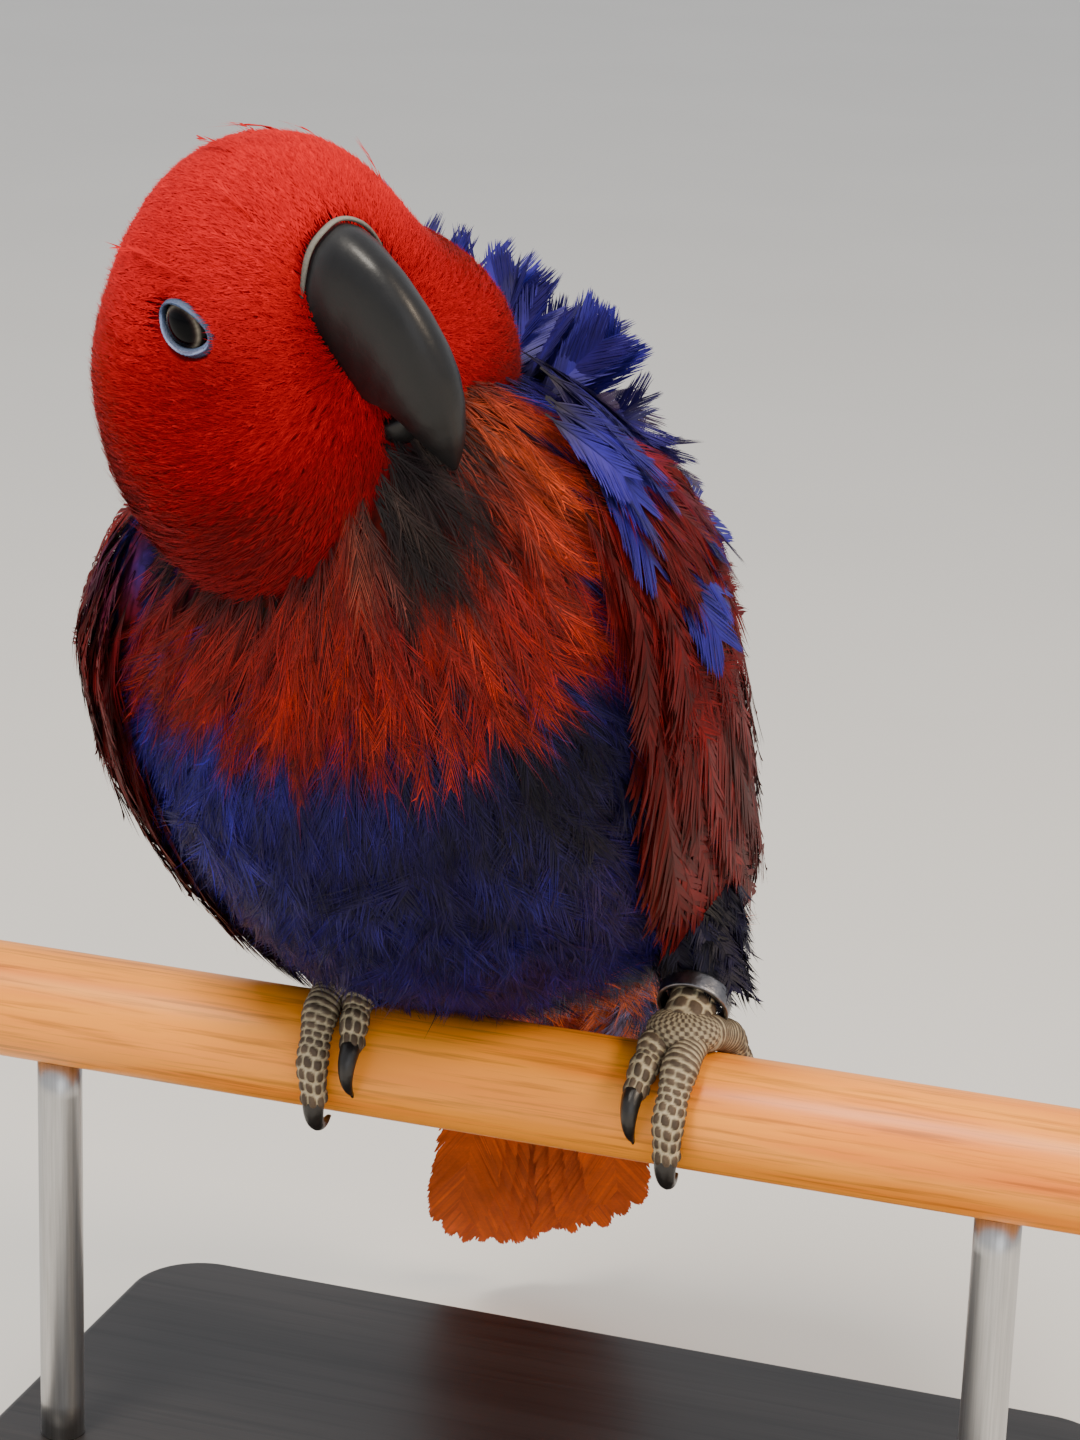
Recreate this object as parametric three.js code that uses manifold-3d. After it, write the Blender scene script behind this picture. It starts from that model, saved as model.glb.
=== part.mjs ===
// A female eclectus parrot at life size, perched on a short length of dowel that a plain stand holds.
// Units are millimetres, +Z is up, and the origin is on the floor under the middle of the stand.
// The perch runs along X. The bird sits facing -Y, turned and leaning a little, with its head cocked.
import * as THREE from "three";
import { mergeVertices } from "three/addons/utils/BufferGeometryUtils.js";
import Module from "manifold-3d";

const wasm = await Module();
wasm.setup();
const Solid = wasm.Manifold;

// Driving dimensions.
const GAP = 0.32; // between solids that touch
const PERCH_RADIUS = 10;
const PERCH_LENGTH = 212;
const PERCH_HEIGHT = 95; // the dowel's axis above the floor
const BODY_TURN = 14; // degrees that the bird is turned on the perch
const SKULL = 0.954; // size of the head, whose own lengths are for a 42 mm bill
const HEAD_AT = [-34.4, -35.6, 144]; // the point between the eyes, from the perch's axis
const HEAD_TURN = 40.2; // degrees to the bird's left
const HEAD_NOD = 5; // degrees down
const HEAD_TILT = -24.5; // degrees, the right side down
const TAIL_DROP = 52; // degrees below level
const TAIL_TURN = 5; // degrees to the bird's right
const TAIL_LENGTH = 106;
const FEET = { left: 29.7, right: -29.7 }; // each foot along the perch
const VANE_THICK = 0.7;
const VANE_SUNK = 1.3; // how far a wing feather's root stands off the torso, inside the wing's core
const BASE_LENGTH = 196;
const BASE_WIDTH = 150;
const BASE_THICK = 12;
const ROD_RADIUS = 4;
const ROD_SPREAD = 84;

// The body's sections from over the tail up to the neck: the centre, and how far the side, back and
// front surfaces lie from it. The first ones only carry the folded wings.
const SECTIONS = [
  { at: [3, 107, -67], side: 8, back: 7, front: 2 },
  { at: [3, 90, -44], side: 14, back: 9, front: 3 },
  { at: [2, 72, -21], side: 20, back: 12, front: 5 },
  { at: [1, 52, 2], side: 27, back: 17, front: 10 },
  { at: [-4, 37, 20], side: 39, back: 27, front: 21 },
  { at: [-8, 21, 39], side: 42, back: 36, front: 33 },
  { at: [-13, 5, 58], side: 44, back: 40, front: 40 },
  { at: [-18, -9, 77], side: 45, back: 40, front: 42 },
  { at: [-21.3, -20, 95], side: 41.7, back: 35, front: 37 },
  { at: [-25.2, -28, 111], side: 31.8, back: 28, front: 25 },
  { at: [-31, -33, 126], side: 22, back: 21, front: 17 },
  { at: [-33, -35, 138], side: 15, back: 14, front: 13 },
];
const TAIL_ROOT = 3; // the section where the trunk ends and the tail begins
const NECK_BASE = 8.6; // where the neck leaves the torso
const NECK_TOP = 11;
const END_GAP = 0.02; // between a section's end face and the next piece's

// The tiers of the folded wing, from the innermost out. Roots and tips are [place along the body,
// angle round it], for the feather at the wing's lower edge and the one at its upper edge.
const WING_TIERS = [
  {
    count: 5,
    root: [[6.2, 120], [5.8, 70]],
    tip: [[1.0, 36], [2.9, 16]],
    bow: 26,
    width: 12,
    lift: 2.2,
    roll: 0.15,
    stations: 5,
  },
  {
    count: 5,
    root: [[6.8, 122], [6.3, 38]],
    tip: [[3.4, 115], [2.6, 13]],
    bow: 4,
    width: 17,
    lift: 4.2,
    roll: 0.09,
    stations: 5,
  },
  {
    count: 6,
    root: [[7.6, 122], [7.1, 42]],
    tip: [[4.5, 127], [4.3, 22]],
    bow: 2,
    width: 16,
    lift: 5.8,
    roll: 0.08,
    stations: 4,
  },
  {
    count: 5,
    root: [[8.4, 111], [8.1, 54]],
    tip: [[6.4, 124], [6.1, 37]],
    bow: 2,
    width: 16,
    lift: 7.2,
    roll: 0.08,
    stations: 4,
  },
];

const rad = THREE.MathUtils.degToRad;
const vec = (x, y, z) => new THREE.Vector3(x, y, z);
const lerp = THREE.MathUtils.lerp;
const clamp = THREE.MathUtils.clamp;
const TAU = 2 * Math.PI;
const UP = vec(0, 0, 1);
const steps = (count) => Array.from({ length: count }, (_, i) => i);
const turned = (point) => point.applyAxisAngle(UP, rad(BODY_TURN));

// A repeatable random number from 0 to 1 for a place in a loop.
function chance(n) {
  const wave = Math.sin(n * 12.9898 + 4.1414) * 43758.5453;
  return wave - Math.floor(wave);
}

// A smooth curve through a list of values, read at a place given in steps along the list.
function smoothly(values, place) {
  const last = values.length - 1;
  const i = clamp(Math.floor(place), 0, last - 1);
  const f = place - i;
  const value = (k) => {
    if (k < 0) return 2 * values[0] - values[1];
    if (k > last) return 2 * values[last] - values[last - 1];
    return values[k];
  };
  const [a, b, c, d] = [value(i - 1), value(i), value(i + 1), value(i + 2)];
  return b + 0.5 * f * (c - a + f * (2 * a - 5 * b + 4 * c - d + f * (3 * (b - c) + d - a)));
}

// The same curve read from 0 at the list's start to 1 at its end.
const along = (values, t) => smoothly(values, t * (values.length - 1));

// A solid from points and triangles, turned inside out where the triangles point inwards.
function solidFrom(points, faces) {
  const volume = faces.reduce((sum, [a, b, c]) => {
    return sum + points[a].dot(vec(0, 0, 0).crossVectors(points[b], points[c]));
  }, 0);
  const order = volume > 0 ? faces : faces.map(([a, b, c]) => [a, c, b]);
  const geometry = new THREE.BufferGeometry();
  geometry.setAttribute("position", new THREE.Float32BufferAttribute(points.flatMap((p) => [...p]), 3));
  geometry.setIndex(order.flat());
  return solidOf(geometry);
}

// The same from a surface, with its doubled corners joined.
function solidOf(geometry) {
  geometry.deleteAttribute("normal");
  geometry.deleteAttribute("uv");
  const merged = mergeVertices(geometry, 1e-4);
  return new Solid(
    new wasm.Mesh({
      numProp: 3,
      vertProperties: new Float32Array(merged.attributes.position.array),
      triVerts: new Uint32Array(merged.index.array),
    }),
  );
}

// Rings of points joined into one closed body. An end ring is closed by a fan round its middle.
function tube(rings) {
  const middle = (ring) => ring.reduce((sum, p) => sum.add(p), vec(0, 0, 0)).divideScalar(ring.length);
  const size = rings[0].length;
  const points = [...rings.flat(), middle(rings[0]), middle(rings.at(-1))];
  const [first, last] = [points.length - 2, points.length - 1];
  const faces = [];
  for (let i = 0; i < size; i += 1) {
    const j = (i + 1) % size;
    faces.push([first, j, i]);
    for (let k = 0; k + 1 < rings.length; k += 1) {
      const [a, b] = [k * size, (k + 1) * size];
      faces.push([a + i, a + j, b + i], [a + j, b + j, b + i]);
    }
    const end = (rings.length - 1) * size;
    faces.push([last, end + i, end + j]);
  }
  return solidFrom(points, faces);
}

// Rings joined to each other and the last to the first, as a hoop.
function hoop(rings) {
  const size = rings[0].length;
  const faces = rings.flatMap((_, k) => {
    const [a, b] = [k * size, ((k + 1) % rings.length) * size];
    return steps(size).flatMap((i) => {
      const j = (i + 1) % size;
      return [[a + i, a + j, b + i], [a + j, b + j, b + i]];
    });
  });
  return solidFrom(rings.flat(), faces);
}

// A thin body between two grids of points, with both faces split into triangles alike.
function plate(upper, lower) {
  const [rows, columns] = [upper.length, upper[0].length];
  const under = rows * columns;
  const at = (r, c) => r * columns + c;
  const faces = [];
  const quad = (a, b, c, d) => faces.push([a, b, c], [a, c, d]);
  for (let r = 0; r + 1 < rows; r += 1) {
    for (let c = 0; c + 1 < columns; c += 1) {
      const [p, q, s, t] = [at(r, c), at(r, c + 1), at(r + 1, c + 1), at(r + 1, c)];
      faces.push([p, q, s], [p, s, t]);
      faces.push([under + p, under + s, under + q], [under + p, under + t, under + s]);
    }
    const right = columns - 1;
    quad(at(r + 1, 0), under + at(r + 1, 0), under + at(r, 0), at(r, 0));
    quad(at(r, right), under + at(r, right), under + at(r + 1, right), at(r + 1, right));
  }
  for (let c = 0; c + 1 < columns; c += 1) {
    const end = rows - 1;
    quad(at(0, c), under + at(0, c), under + at(0, c + 1), at(0, c + 1));
    quad(at(end, c + 1), under + at(end, c + 1), under + at(end, c), at(end, c));
  }
  return solidFrom([...upper.flat(), ...lower.flat()], faces);
}

// A feather's vane along a path of places, each with its point, its direction out of the body and
// its direction across. It widens from its root and rounds off at its tip, and one edge lies over
// the next vane because it is rolled about its shaft.
const VANE_SHAPE = [0.55, 0.92, 1, 0.86, 0.25];
function vane(path, width, roll, thick = VANE_THICK) {
  const rows = path.map(({ point, out, across }, k) => {
    const t = k / (path.length - 1);
    const half = (width / 2) * along(VANE_SHAPE, t);
    const edge = across.clone().addScaledVector(out, roll * lerp(1, 1.4, t)).multiplyScalar(half);
    const fade = (out.length() * thick * lerp(1, 0.75, t)) / 2;
    return [-1, 1].map((side) => {
      const p = point.clone().addScaledVector(edge, side);
      return [p.clone().addScaledVector(out, fade), p.clone().addScaledVector(out, -fade)];
    });
  });
  const [upper, lower] = [0, 1].map((face) => rows.map((row) => row.map((pair) => pair[face])));
  return plate(upper, lower);
}

// The largest closed surface of a solid.
function largest(solid) {
  return solid.decompose().sort((a, b) => b.volume() - a.volume())[0];
}

const join = (solids) => Solid.union(solids);
const cut = (solid, ...cutters) => largest(cutters.reduce((rest, cutter) => rest.subtract(cutter), solid));

// The middle of the body at a place along the sections.
function spine(s) {
  return turned(vec(...[0, 1, 2].map((k) => smoothly(SECTIONS.map((section) => section.at[k]), s))));
}

// The body's own axes at a place: forward to the head, to its left, and out of its back.
function bodyAxes(s) {
  const forward = spine(s + 0.05).sub(spine(s - 0.05)).normalize();
  const level = turned(vec(1, 0, 0));
  const left = level.addScaledVector(forward, -forward.dot(level)).normalize();
  return { forward, left, back: vec(0, 0, 0).crossVectors(forward, left) };
}

// A point of the body's surface, standing off it by out. The angle is 0 at the back's middle line,
// 90 at the left side and 180 at the belly.
function body(s, angle, out = 0) {
  const { left, back } = bodyAxes(s);
  const a = rad(angle);
  const size = (name) => smoothly(SECTIONS.map((section) => section[name]), s) + out;
  const depth = Math.cos(a) > 0 ? size("back") : size("front");
  return spine(s)
    .addScaledVector(left, size("side") * Math.sin(a))
    .addScaledVector(back, depth * Math.cos(a));
}

// The direction out of the body's surface.
function bodyNormal(s, angle) {
  const across = body(s, angle + 2).sub(body(s, angle - 2));
  const forward = body(s + 0.05, angle).sub(body(s - 0.05, angle));
  const normal = across.cross(forward).normalize();
  return normal.dot(body(s, angle).sub(spine(s))) > 0 ? normal : normal.negate();
}

// The body between two places, standing off by out.
function bodySolid(from, to, rings, out = 0) {
  const sides = 24;
  return tube(
    steps(rings + 1).map((k) => {
      const s = lerp(from, to, k / rings);
      return steps(sides).map((i) => body(s, (360 * i) / sides, out));
    }),
  );
}

// The head's axes: forward along the bill, up through the crown, and to its right.
const HEAD = (() => {
  const turn = rad(BODY_TURN + HEAD_TURN);
  const [nod, tilt] = [rad(HEAD_NOD), rad(HEAD_TILT)];
  const forward = vec(Math.sin(turn) * Math.cos(nod), -Math.cos(turn) * Math.cos(nod), -Math.sin(nod));
  const level = vec(-Math.cos(turn), -Math.sin(turn), 0);
  const upright = vec(0, 0, 0).crossVectors(level, forward);
  const right = level.clone().multiplyScalar(Math.cos(tilt)).addScaledVector(upright, Math.sin(tilt));
  return { at: turned(vec(...HEAD_AT)), forward, right, up: vec(0, 0, 0).crossVectors(right, forward) };
})();

// A point of the head from lengths forward, up and to its right of the point between the eyes.
function headPoint(forward, up, right) {
  return HEAD.at
    .clone()
    .addScaledVector(HEAD.forward, SKULL * forward)
    .addScaledVector(HEAD.up, SKULL * up)
    .addScaledVector(HEAD.right, SKULL * right);
}

// The plumage of the head as a distance from a middle point in every direction: an egg with swollen
// cheeks and throat and a hollow at each eye. Each swelling has its direction, height and spread.
const HEAD_MIDDLE = [-4, -9, 0];
const HEAD_SIZE = { front: 28, rear: 27, up: 27, down: 34, temple: 22.5, cheek: 28 };
const SWELLINGS = [
  { toward: [0.34, -0.66, 0.67], height: 8, spread: 36 },
  { toward: [0.34, -0.66, -0.67], height: 8, spread: 36 },
  { toward: [0.2, -0.8, 0.5], height: 7, spread: 36 },
  { toward: [-0.5, -0.2, 0.8], height: 7, spread: 42 },
  { toward: [-0.85, -0.35, 0], height: 4, spread: 40 },
  { toward: [1, 0.2, 0], height: -5, spread: 22 },
  { toward: [0.16, 0.28, 0.945], height: -3.2, spread: 23 },
  { toward: [0.16, 0.28, -0.945], height: -2.4, spread: 23 },
  { toward: [0.5, 0.85, 0], height: 1.6, spread: 30 },
].map(({ toward, height, spread }) => {
  return { toward: vec(...toward).normalize(), height, spread: rad(spread) };
});

function headSurface(polar, round, out = 0) {
  const way = vec(Math.cos(polar), Math.sin(polar) * Math.cos(round), Math.sin(polar) * Math.sin(round));
  const length = way.x > 0 ? HEAD_SIZE.front : HEAD_SIZE.rear;
  const height = way.y > 0 ? HEAD_SIZE.up : HEAD_SIZE.down;
  const side = lerp(HEAD_SIZE.cheek, HEAD_SIZE.temple, THREE.MathUtils.smoothstep(way.y, -0.5, 0.4));
  const egg = 1 / Math.hypot(way.x / length, way.y / height, way.z / side);
  const swell = SWELLINGS.reduce((sum, { toward, height: rise, spread }) => {
    return sum + rise * Math.exp(-((way.angleTo(toward) / spread) ** 2));
  }, 0);
  const reach = egg + swell + out / SKULL;
  return headPoint(...HEAD_MIDDLE.map((middle, k) => middle + reach * way.getComponent(k)));
}

function headSolid(out = 0) {
  const [rings, sides] = [15, 24];
  const bands = steps(rings - 1).map((k) => {
    return steps(sides).map((i) => headSurface((Math.PI * (k + 1)) / rings, (TAU * i) / sides, out));
  });
  return tube(bands);
}

// The upper bill from its root in the head to its tip: the culmen, the cutting edge and the half
// width, each as [forward, up] or a length in the head's own measure.
const CULMEN = [
  [11, 7],
  [19.5, 11.4],
  [28.9, 8.2],
  [35.3, 1.4],
  [38.5, -7],
  [38.6, -14.5],
  [36.4, -22.1],
  [32.8, -28.2],
];
const CUTTING_EDGE = [
  [8, -12],
  [13, -14.6],
  [18, -16.2],
  [22.6, -16.8],
  [26, -16.6],
  [28.4, -18.4],
  [30.4, -22.6],
  [32.2, -27.6],
];
const BILL_HALF_WIDTH = [8.6, 8.6, 7.2, 6.4, 5.8, 4.8, 3.1, 0.7];

function billPoint(t, round, out = 0) {
  const [top, edge] = [CULMEN, CUTTING_EDGE].map((curve) => {
    return [0, 1].map((k) => along(curve.map((p) => p[k]), t));
  });
  const half = along(BILL_HALF_WIDTH, t) + out;
  const [run, rise] = [top[0] - edge[0], top[1] - edge[1]];
  const depth = Math.hypot(run, rise);
  // The section is a tall arch, closed below by a shallow hollow.
  const a = rad(round);
  const high = Math.cos(a) > 0 ? Math.cos(a) ** 0.8 : 0.1 * Math.cos(a);
  const up = 0.12 + 0.88 * high;
  const reach = (up * (depth + 2 * out) - out) / depth;
  return headPoint(edge[0] + run * reach, edge[1] + rise * reach, half * Math.sin(a));
}

function upperBill(out = 0) {
  return tube(steps(12).map((k) => steps(16).map((i) => billPoint(k / 11, 22.5 * i, out))));
}

// The lower bill is a short scoop under it.
const SCOOP = [[9, -19], [15, -20], [20.5, -20.4], [24.4, -20.4], [26.6, -19.9]];
const SCOOP_HALF_WIDTH = [6.6, 6.8, 6, 4.9, 3];
const SCOOP_DEPTH = [6, 7, 6.6, 4.6, 2];
function lowerBill(out = 0) {
  return tube(
    steps(7).map((k) => {
      const t = k / 6;
      const [forward, up] = [0, 1].map((axis) => along(SCOOP.map((p) => p[axis]), t));
      const half = along(SCOOP_HALF_WIDTH, t) + out;
      return steps(14).map((i) => {
        const a = (TAU * i) / 14;
        const drop = Math.cos(a) > 0 ? 1.4 : along(SCOOP_DEPTH, t);
        const height = up + Math.cos(a) * (drop + out);
        return headPoint(forward + (k === 6 ? out : 0), height, half * Math.sin(a));
      });
    }),
  );
}

// The narrow bare band over the root of the bill, from place to place along it and round to each side.
const CERE = { from: 0.12, to: 0.19, reach: 72, low: GAP, high: 1.3 };
function cere(out = 0) {
  const grid = (high) => steps(3).map((k) => {
    const t = lerp(CERE.from - out / 60, CERE.to + out / 60, k / 2);
    const reach = CERE.reach + 2.5 * out;
    return steps(11).map((i) => billPoint(t, lerp(-reach, reach, i / 10), high / SKULL));
  });
  return plate(grid(CERE.high + out), grid(CERE.low - 2 * out));
}

// The eyes: a ball, and the lids as one ring on it round an almond opening.
const EYE = { middle: [-1.5, -2.1, 15.8], gaze: [0.22, 0.215, 0.951], radius: 6, tilt: 14 };
const LIDS = { long: 5.1, high: 3.3, clear: 0.8, thick: 0.8 };
// The axes of the right eye: along the opening towards the bill, across it upwards and out of it.
const gaze = vec(...EYE.gaze).normalize();
const level = vec(1, 0, 0).addScaledVector(gaze, -gaze.x).normalize();
const upward = vec(0, 0, 0).crossVectors(gaze, level);
const openingRun = level.clone().applyAxisAngle(gaze, -rad(EYE.tilt));
const openingRise = upward.clone().applyAxisAngle(gaze, -rad(EYE.tilt));
function eyePoint(side, x, y, radius) {
  const z = Math.sqrt(Math.max(radius ** 2 - x ** 2 - y ** 2, 0));
  const spot = vec(...EYE.middle)
    .addScaledVector(openingRun, x)
    .addScaledVector(openingRise, y)
    .addScaledVector(gaze, z);
  return headPoint(spot.x, spot.y, side * spot.z);
}

function eyeMiddle(side) {
  const [forward, up, right] = EYE.middle;
  return headPoint(forward, up, side * right);
}

function eyeball(side) {
  const ball = new THREE.SphereGeometry(SKULL * EYE.radius, 14, 9);
  const at = eyeMiddle(side);
  return solidOf(ball.translate(at.x, at.y, at.z));
}

function eyelids(side) {
  const [inner, outer] = [EYE.radius + LIDS.clear, EYE.radius + LIDS.clear + LIDS.thick];
  return hoop(
    steps(20).map((i) => {
      const a = (TAU * i) / 20;
      const rim = [LIDS.long * Math.cos(a), LIDS.high * Math.sin(a) * Math.abs(Math.sin(a)) ** 0.15];
      const out = [Math.cos(a), Math.sin(a)].map((k) => 0.995 * inner * k);
      const middle = [0, 1].map((k) => lerp(rim[k], out[k], 0.5));
      return [
        eyePoint(side, ...rim, inner),
        eyePoint(side, ...rim, outer - 0.3),
        eyePoint(side, ...middle, outer),
        eyePoint(side, ...out, outer),
        eyePoint(side, ...out, inner),
      ];
    }),
  );
}

// The hoop's outside, which the plumage stays clear of.
function eyeSocket(side) {
  const ball = new THREE.SphereGeometry(SKULL * (EYE.radius + LIDS.clear + LIDS.thick) + GAP + 0.3, 12, 8);
  const at = eyeMiddle(side);
  return solidOf(ball.translate(at.x, at.y, at.z));
}

// A feather that lies on the body from a root to a tip, both [place, angle], and rises to its lift.
function lyingVane({ root, tip, bow, width, lift, roll, stations }) {
  const spot = (t) => {
    const s = lerp(root[0], tip[0], t);
    const angle = lerp(root[1], tip[1], t) + bow * Math.sin(Math.PI * t);
    return { s, angle, out: lerp(VANE_SUNK, lift, clamp(2.2 * t, 0, 1) ** 0.8) };
  };
  const place = ({ s, angle, out }) => body(s, angle, out);
  return vane(
    steps(stations).map((k) => {
      const t = k / (stations - 1);
      const here = spot(t);
      const run = place(spot(t + 0.02)).sub(place(spot(t - 0.02))).normalize();
      const out = bodyNormal(here.s, here.angle);
      const across = vec(0, 0, 0).crossVectors(out, run).normalize();
      return { point: place(here), out, across };
    }),
    width,
    roll,
  );
}

// A folded wing: a core on the flank and its tiers of feathers. Side is 1 for the bird's left wing.
const WING_CORE = [
  { s: 8.95, upper: 74, lower: 98, out: 1.2 },
  { s: 8.5, upper: 54, lower: 114, out: 3 },
  { s: 7.7, upper: 42, lower: 123, out: 3.6 },
  { s: 6.9, upper: 34, lower: 126, out: 3.2 },
  { s: 6.1, upper: 28, lower: 125, out: 2.6 },
  { s: 5.2, upper: 22, lower: 120, out: 2 },
];
function wing(side) {
  const [rows, columns] = [8, 6];
  const grid = (high) => steps(rows).map((r) => {
    const read = (name) => along(WING_CORE.map((row) => row[name]), r / (rows - 1));
    return steps(columns).map((c) => {
      const v = c / (columns - 1);
      const rim = Math.sin(Math.PI * clamp(v, 0.04, 0.96)) ** 0.5;
      const angle = side * lerp(read("upper"), read("lower"), v);
      return body(read("s"), angle, high ? 0.8 + read("out") * rim : -0.8);
    });
  });
  const core = plate(grid(true), grid(false));
  const vanes = WING_TIERS.flatMap(({ count, root, tip, bow, roll, ...size }, tier) => {
    return steps(count).map((i) => {
      const f = i / (count - 1);
      const draw = chance(100 * tier + i + (side > 0 ? 0 : 50));
      const pick = (pair) => [lerp(pair[0][0], pair[1][0], f), side * lerp(pair[0][1], pair[1][1], f)];
      const end = pick(tip);
      return lyingVane({
        root: pick(root),
        tip: [end[0] - 0.25 * draw, end[1] + 3 * (draw - 0.5)],
        bow: side * bow * (1 - f),
        roll: -roll,
        ...size,
      });
    });
  });
  return join([core, ...vanes]);
}

// The tail: a core under the coverts, and the tail feathers fanned from it, the middle pair on top.
const TAIL_FEATHERS = 12;
const TAIL_FAN = 0.65; // degrees from one feather to the next
const TAIL_SPREAD = { left: 0.1, right: 0.07 }; // more degrees, by the square of the feather's place
const TAIL_ROUND = { left: 0.35, right: 0.9 }; // how fast the feathers shorten away from the longest
const TAIL_STACK = 0.62; // from one feather down to the next
const TAIL_CORE = { length: 46, side: [20, 15, 10], depth: [11, 7, 2] };
const TAIL = (() => {
  const drop = rad(TAIL_DROP);
  const turn = rad(TAIL_TURN);
  const level = Math.cos(drop);
  const run = turned(vec(-level * Math.sin(turn), level * Math.cos(turn), -Math.sin(drop)));
  const left = turned(vec(Math.cos(turn), Math.sin(turn), 0));
  return { at: turned(vec(3, 44, 7)), run, left, out: vec(0, 0, 0).crossVectors(run, left).negate() };
})();

function tail() {
  const rings = steps(5).map((k) => {
    const t = k / 4;
    return steps(16).map((i) => {
      const a = (TAU * i) / 16;
      return TAIL.at
        .clone()
        .addScaledVector(TAIL.run, TAIL_CORE.length * t)
        .addScaledVector(TAIL.left, along(TAIL_CORE.side, t) * Math.sin(a))
        .addScaledVector(TAIL.out, along(TAIL_CORE.depth, t) * Math.cos(a));
    });
  });
  const feathers = steps(TAIL_FEATHERS).map((i) => {
    const pair = i - (TAIL_FEATHERS - 1) / 2;
    const order = 2 * Math.floor(Math.abs(pair)) + (pair > 0 ? 1 : 0);
    const spread = pair > 0 ? TAIL_SPREAD.left : -TAIL_SPREAD.right;
    const fan = rad(TAIL_FAN * pair + spread * pair ** 2);
    const run = TAIL.run.clone().applyAxisAngle(TAIL.out, -fan);
    const across = vec(0, 0, 0).crossVectors(TAIL.out, run).normalize();
    const shorter = pair > -2 ? TAIL_ROUND.left : TAIL_ROUND.right;
    const length = TAIL_LENGTH - shorter * (pair + 2) ** 2 - 3 * chance(i + 7);
    const path = steps(5).map((k) => {
      const t = k / 4;
      const point = TAIL.at
        .clone()
        .addScaledVector(TAIL.left, 1.2 * pair)
        .addScaledVector(run, lerp(22, length, t))
        .addScaledVector(TAIL.out, 3 - TAIL_STACK * order * Math.min(1, 0.25 + t) - 3 * t ** 2);
      return { point, out: TAIL.out, across };
    });
    return vane(path, 14, 0, 0.5);
  });
  return join([tube(rings), ...feathers]);
}

// Raised feathers of the mantle, each from a root in the back and out along a bent path. The length
// goes from the first feather's to the last's. Lean is how far it stands up, and rise how far it
// points to the head rather than to the tail.
const RUFF = {
  count: 9,
  s: [8.3, 8.5],
  angle: [-8, 56],
  length: [27, 15],
  width: 11.5,
  lean: 0.9,
  rise: 0.5,
};
const MANTLE = {
  count: 10,
  s: [7.9, 8.3],
  angle: [-36, 68],
  length: [24, 16],
  width: 13,
  lean: 0.72,
  rise: -1,
};
function raisedVanes({ count, s, angle, length, width, lean, rise }, out = 0) {
  return steps(count).map((i) => {
    const draw = chance(31 * count + i);
    const place = lerp(s[0], s[1], (i % 2) * 0.6 + 0.4 * draw);
    const round = lerp(angle[0], angle[1], i / (count - 1));
    const normal = bodyNormal(place, round);
    const stand = lean * (0.8 + 0.4 * chance(i + 3));
    const forward = bodyAxes(place).forward;
    const way = normal.clone().multiplyScalar(stand).addScaledVector(forward, rise).normalize();
    const across = vec(0, 0, 0).crossVectors(way, normal).normalize();
    const face = vec(0, 0, 0).crossVectors(across, way).normalize();
    const reach = lerp(length[0], length[1], i / (count - 1)) * (0.85 + 0.3 * draw);
    const path = steps(4).map((k) => {
      const t = k / 3;
      const point = body(place, round, -4).addScaledVector(way, reach * t);
      return { point: point.addScaledVector(normal, 5 * t - 0.16 * reach * t ** 2), out: face, across };
    });
    return vane(path, width * (0.9 + 0.2 * draw) + 2 * out, 0.08, 0.8 + 2 * out);
  });
}

// A round limb along a path with a radius at each point.
function limb(points, radii, out, sides) {
  const rings = points.map((p, k) => {
    const before = points[Math.max(k - 1, 0)];
    const after = points[Math.min(k + 1, points.length - 1)];
    const run = after.clone().sub(before).normalize();
    const across = vec(0, 0, 0).crossVectors(run, vec(1, 0, 0)).normalize();
    const over = vec(0, 0, 0).crossVectors(run, across);
    return steps(sides).map((i) => {
      const a = (TAU * i) / sides;
      return p
        .clone()
        .addScaledVector(across, (radii[k] + out) * Math.cos(a))
        .addScaledVector(over, (radii[k] + out) * Math.sin(a));
    });
  });
  const push = (ring, other) => {
    const shift = ring[0].clone().add(ring[sides / 2]).sub(other[0]).sub(other[sides / 2]).normalize();
    ring.forEach((p) => p.addScaledVector(shift, out));
  };
  push(rings[0], rings[1]);
  push(rings.at(-1), rings.at(-2));
  return tube(rings);
}

// A foot's parts, from the foot's middle on the perch. The thigh comes down out of the belly to the
// hock, the shank runs forward from there, and the toes grip the dowel, two in front and two behind.
function thigh(foot, out = 0) {
  const points = [
    vec(foot * 0.6, 18, 46),
    vec(foot * 0.7, 15, 37),
    vec(foot * 0.86, 13, 28),
    vec(foot, 11, 20),
  ];
  return limb(points, [9, 10, 8.4, 6], out, 12);
}

const SHANK_RADIUS = 4.3;
const shankPoint = (foot, t) => vec(foot, lerp(14, 0, t), PERCH_RADIUS + lerp(12, 4, t));
function shank(foot, out = 0) {
  const points = [0, 0.35, 0.7, 1].map((t) => shankPoint(foot, t));
  const leg = limb(points, [SHANK_RADIUS, SHANK_RADIUS, SHANK_RADIUS, 4.6], out, 8);
  const pad = new THREE.SphereGeometry(1, 10, 6).scale(6.2 + out, 6 + out, 3.8 + out);
  return join([leg, solidOf(pad.translate(foot, -0.5, PERCH_RADIUS + GAP + 3.6))]);
}

// Toes by number: where each starts and ends beside the foot's middle, how far round the dowel it
// reaches, and its radius at the root. Outward is the side away from the bird's middle.
const TOES = {
  1: { start: -2.6, end: -5, wrap: -84, radius: 2.8 },
  2: { start: -2.6, end: -5, wrap: 64, radius: 3.2 },
  3: { start: 2.2, end: 1.2, wrap: 114, radius: 3.5 },
  4: { start: 3.2, end: 8, wrap: -112, radius: 3.3 },
};
const CLAW = { wrap: 46, radius: 1.7, bow: 1.9 };

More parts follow.
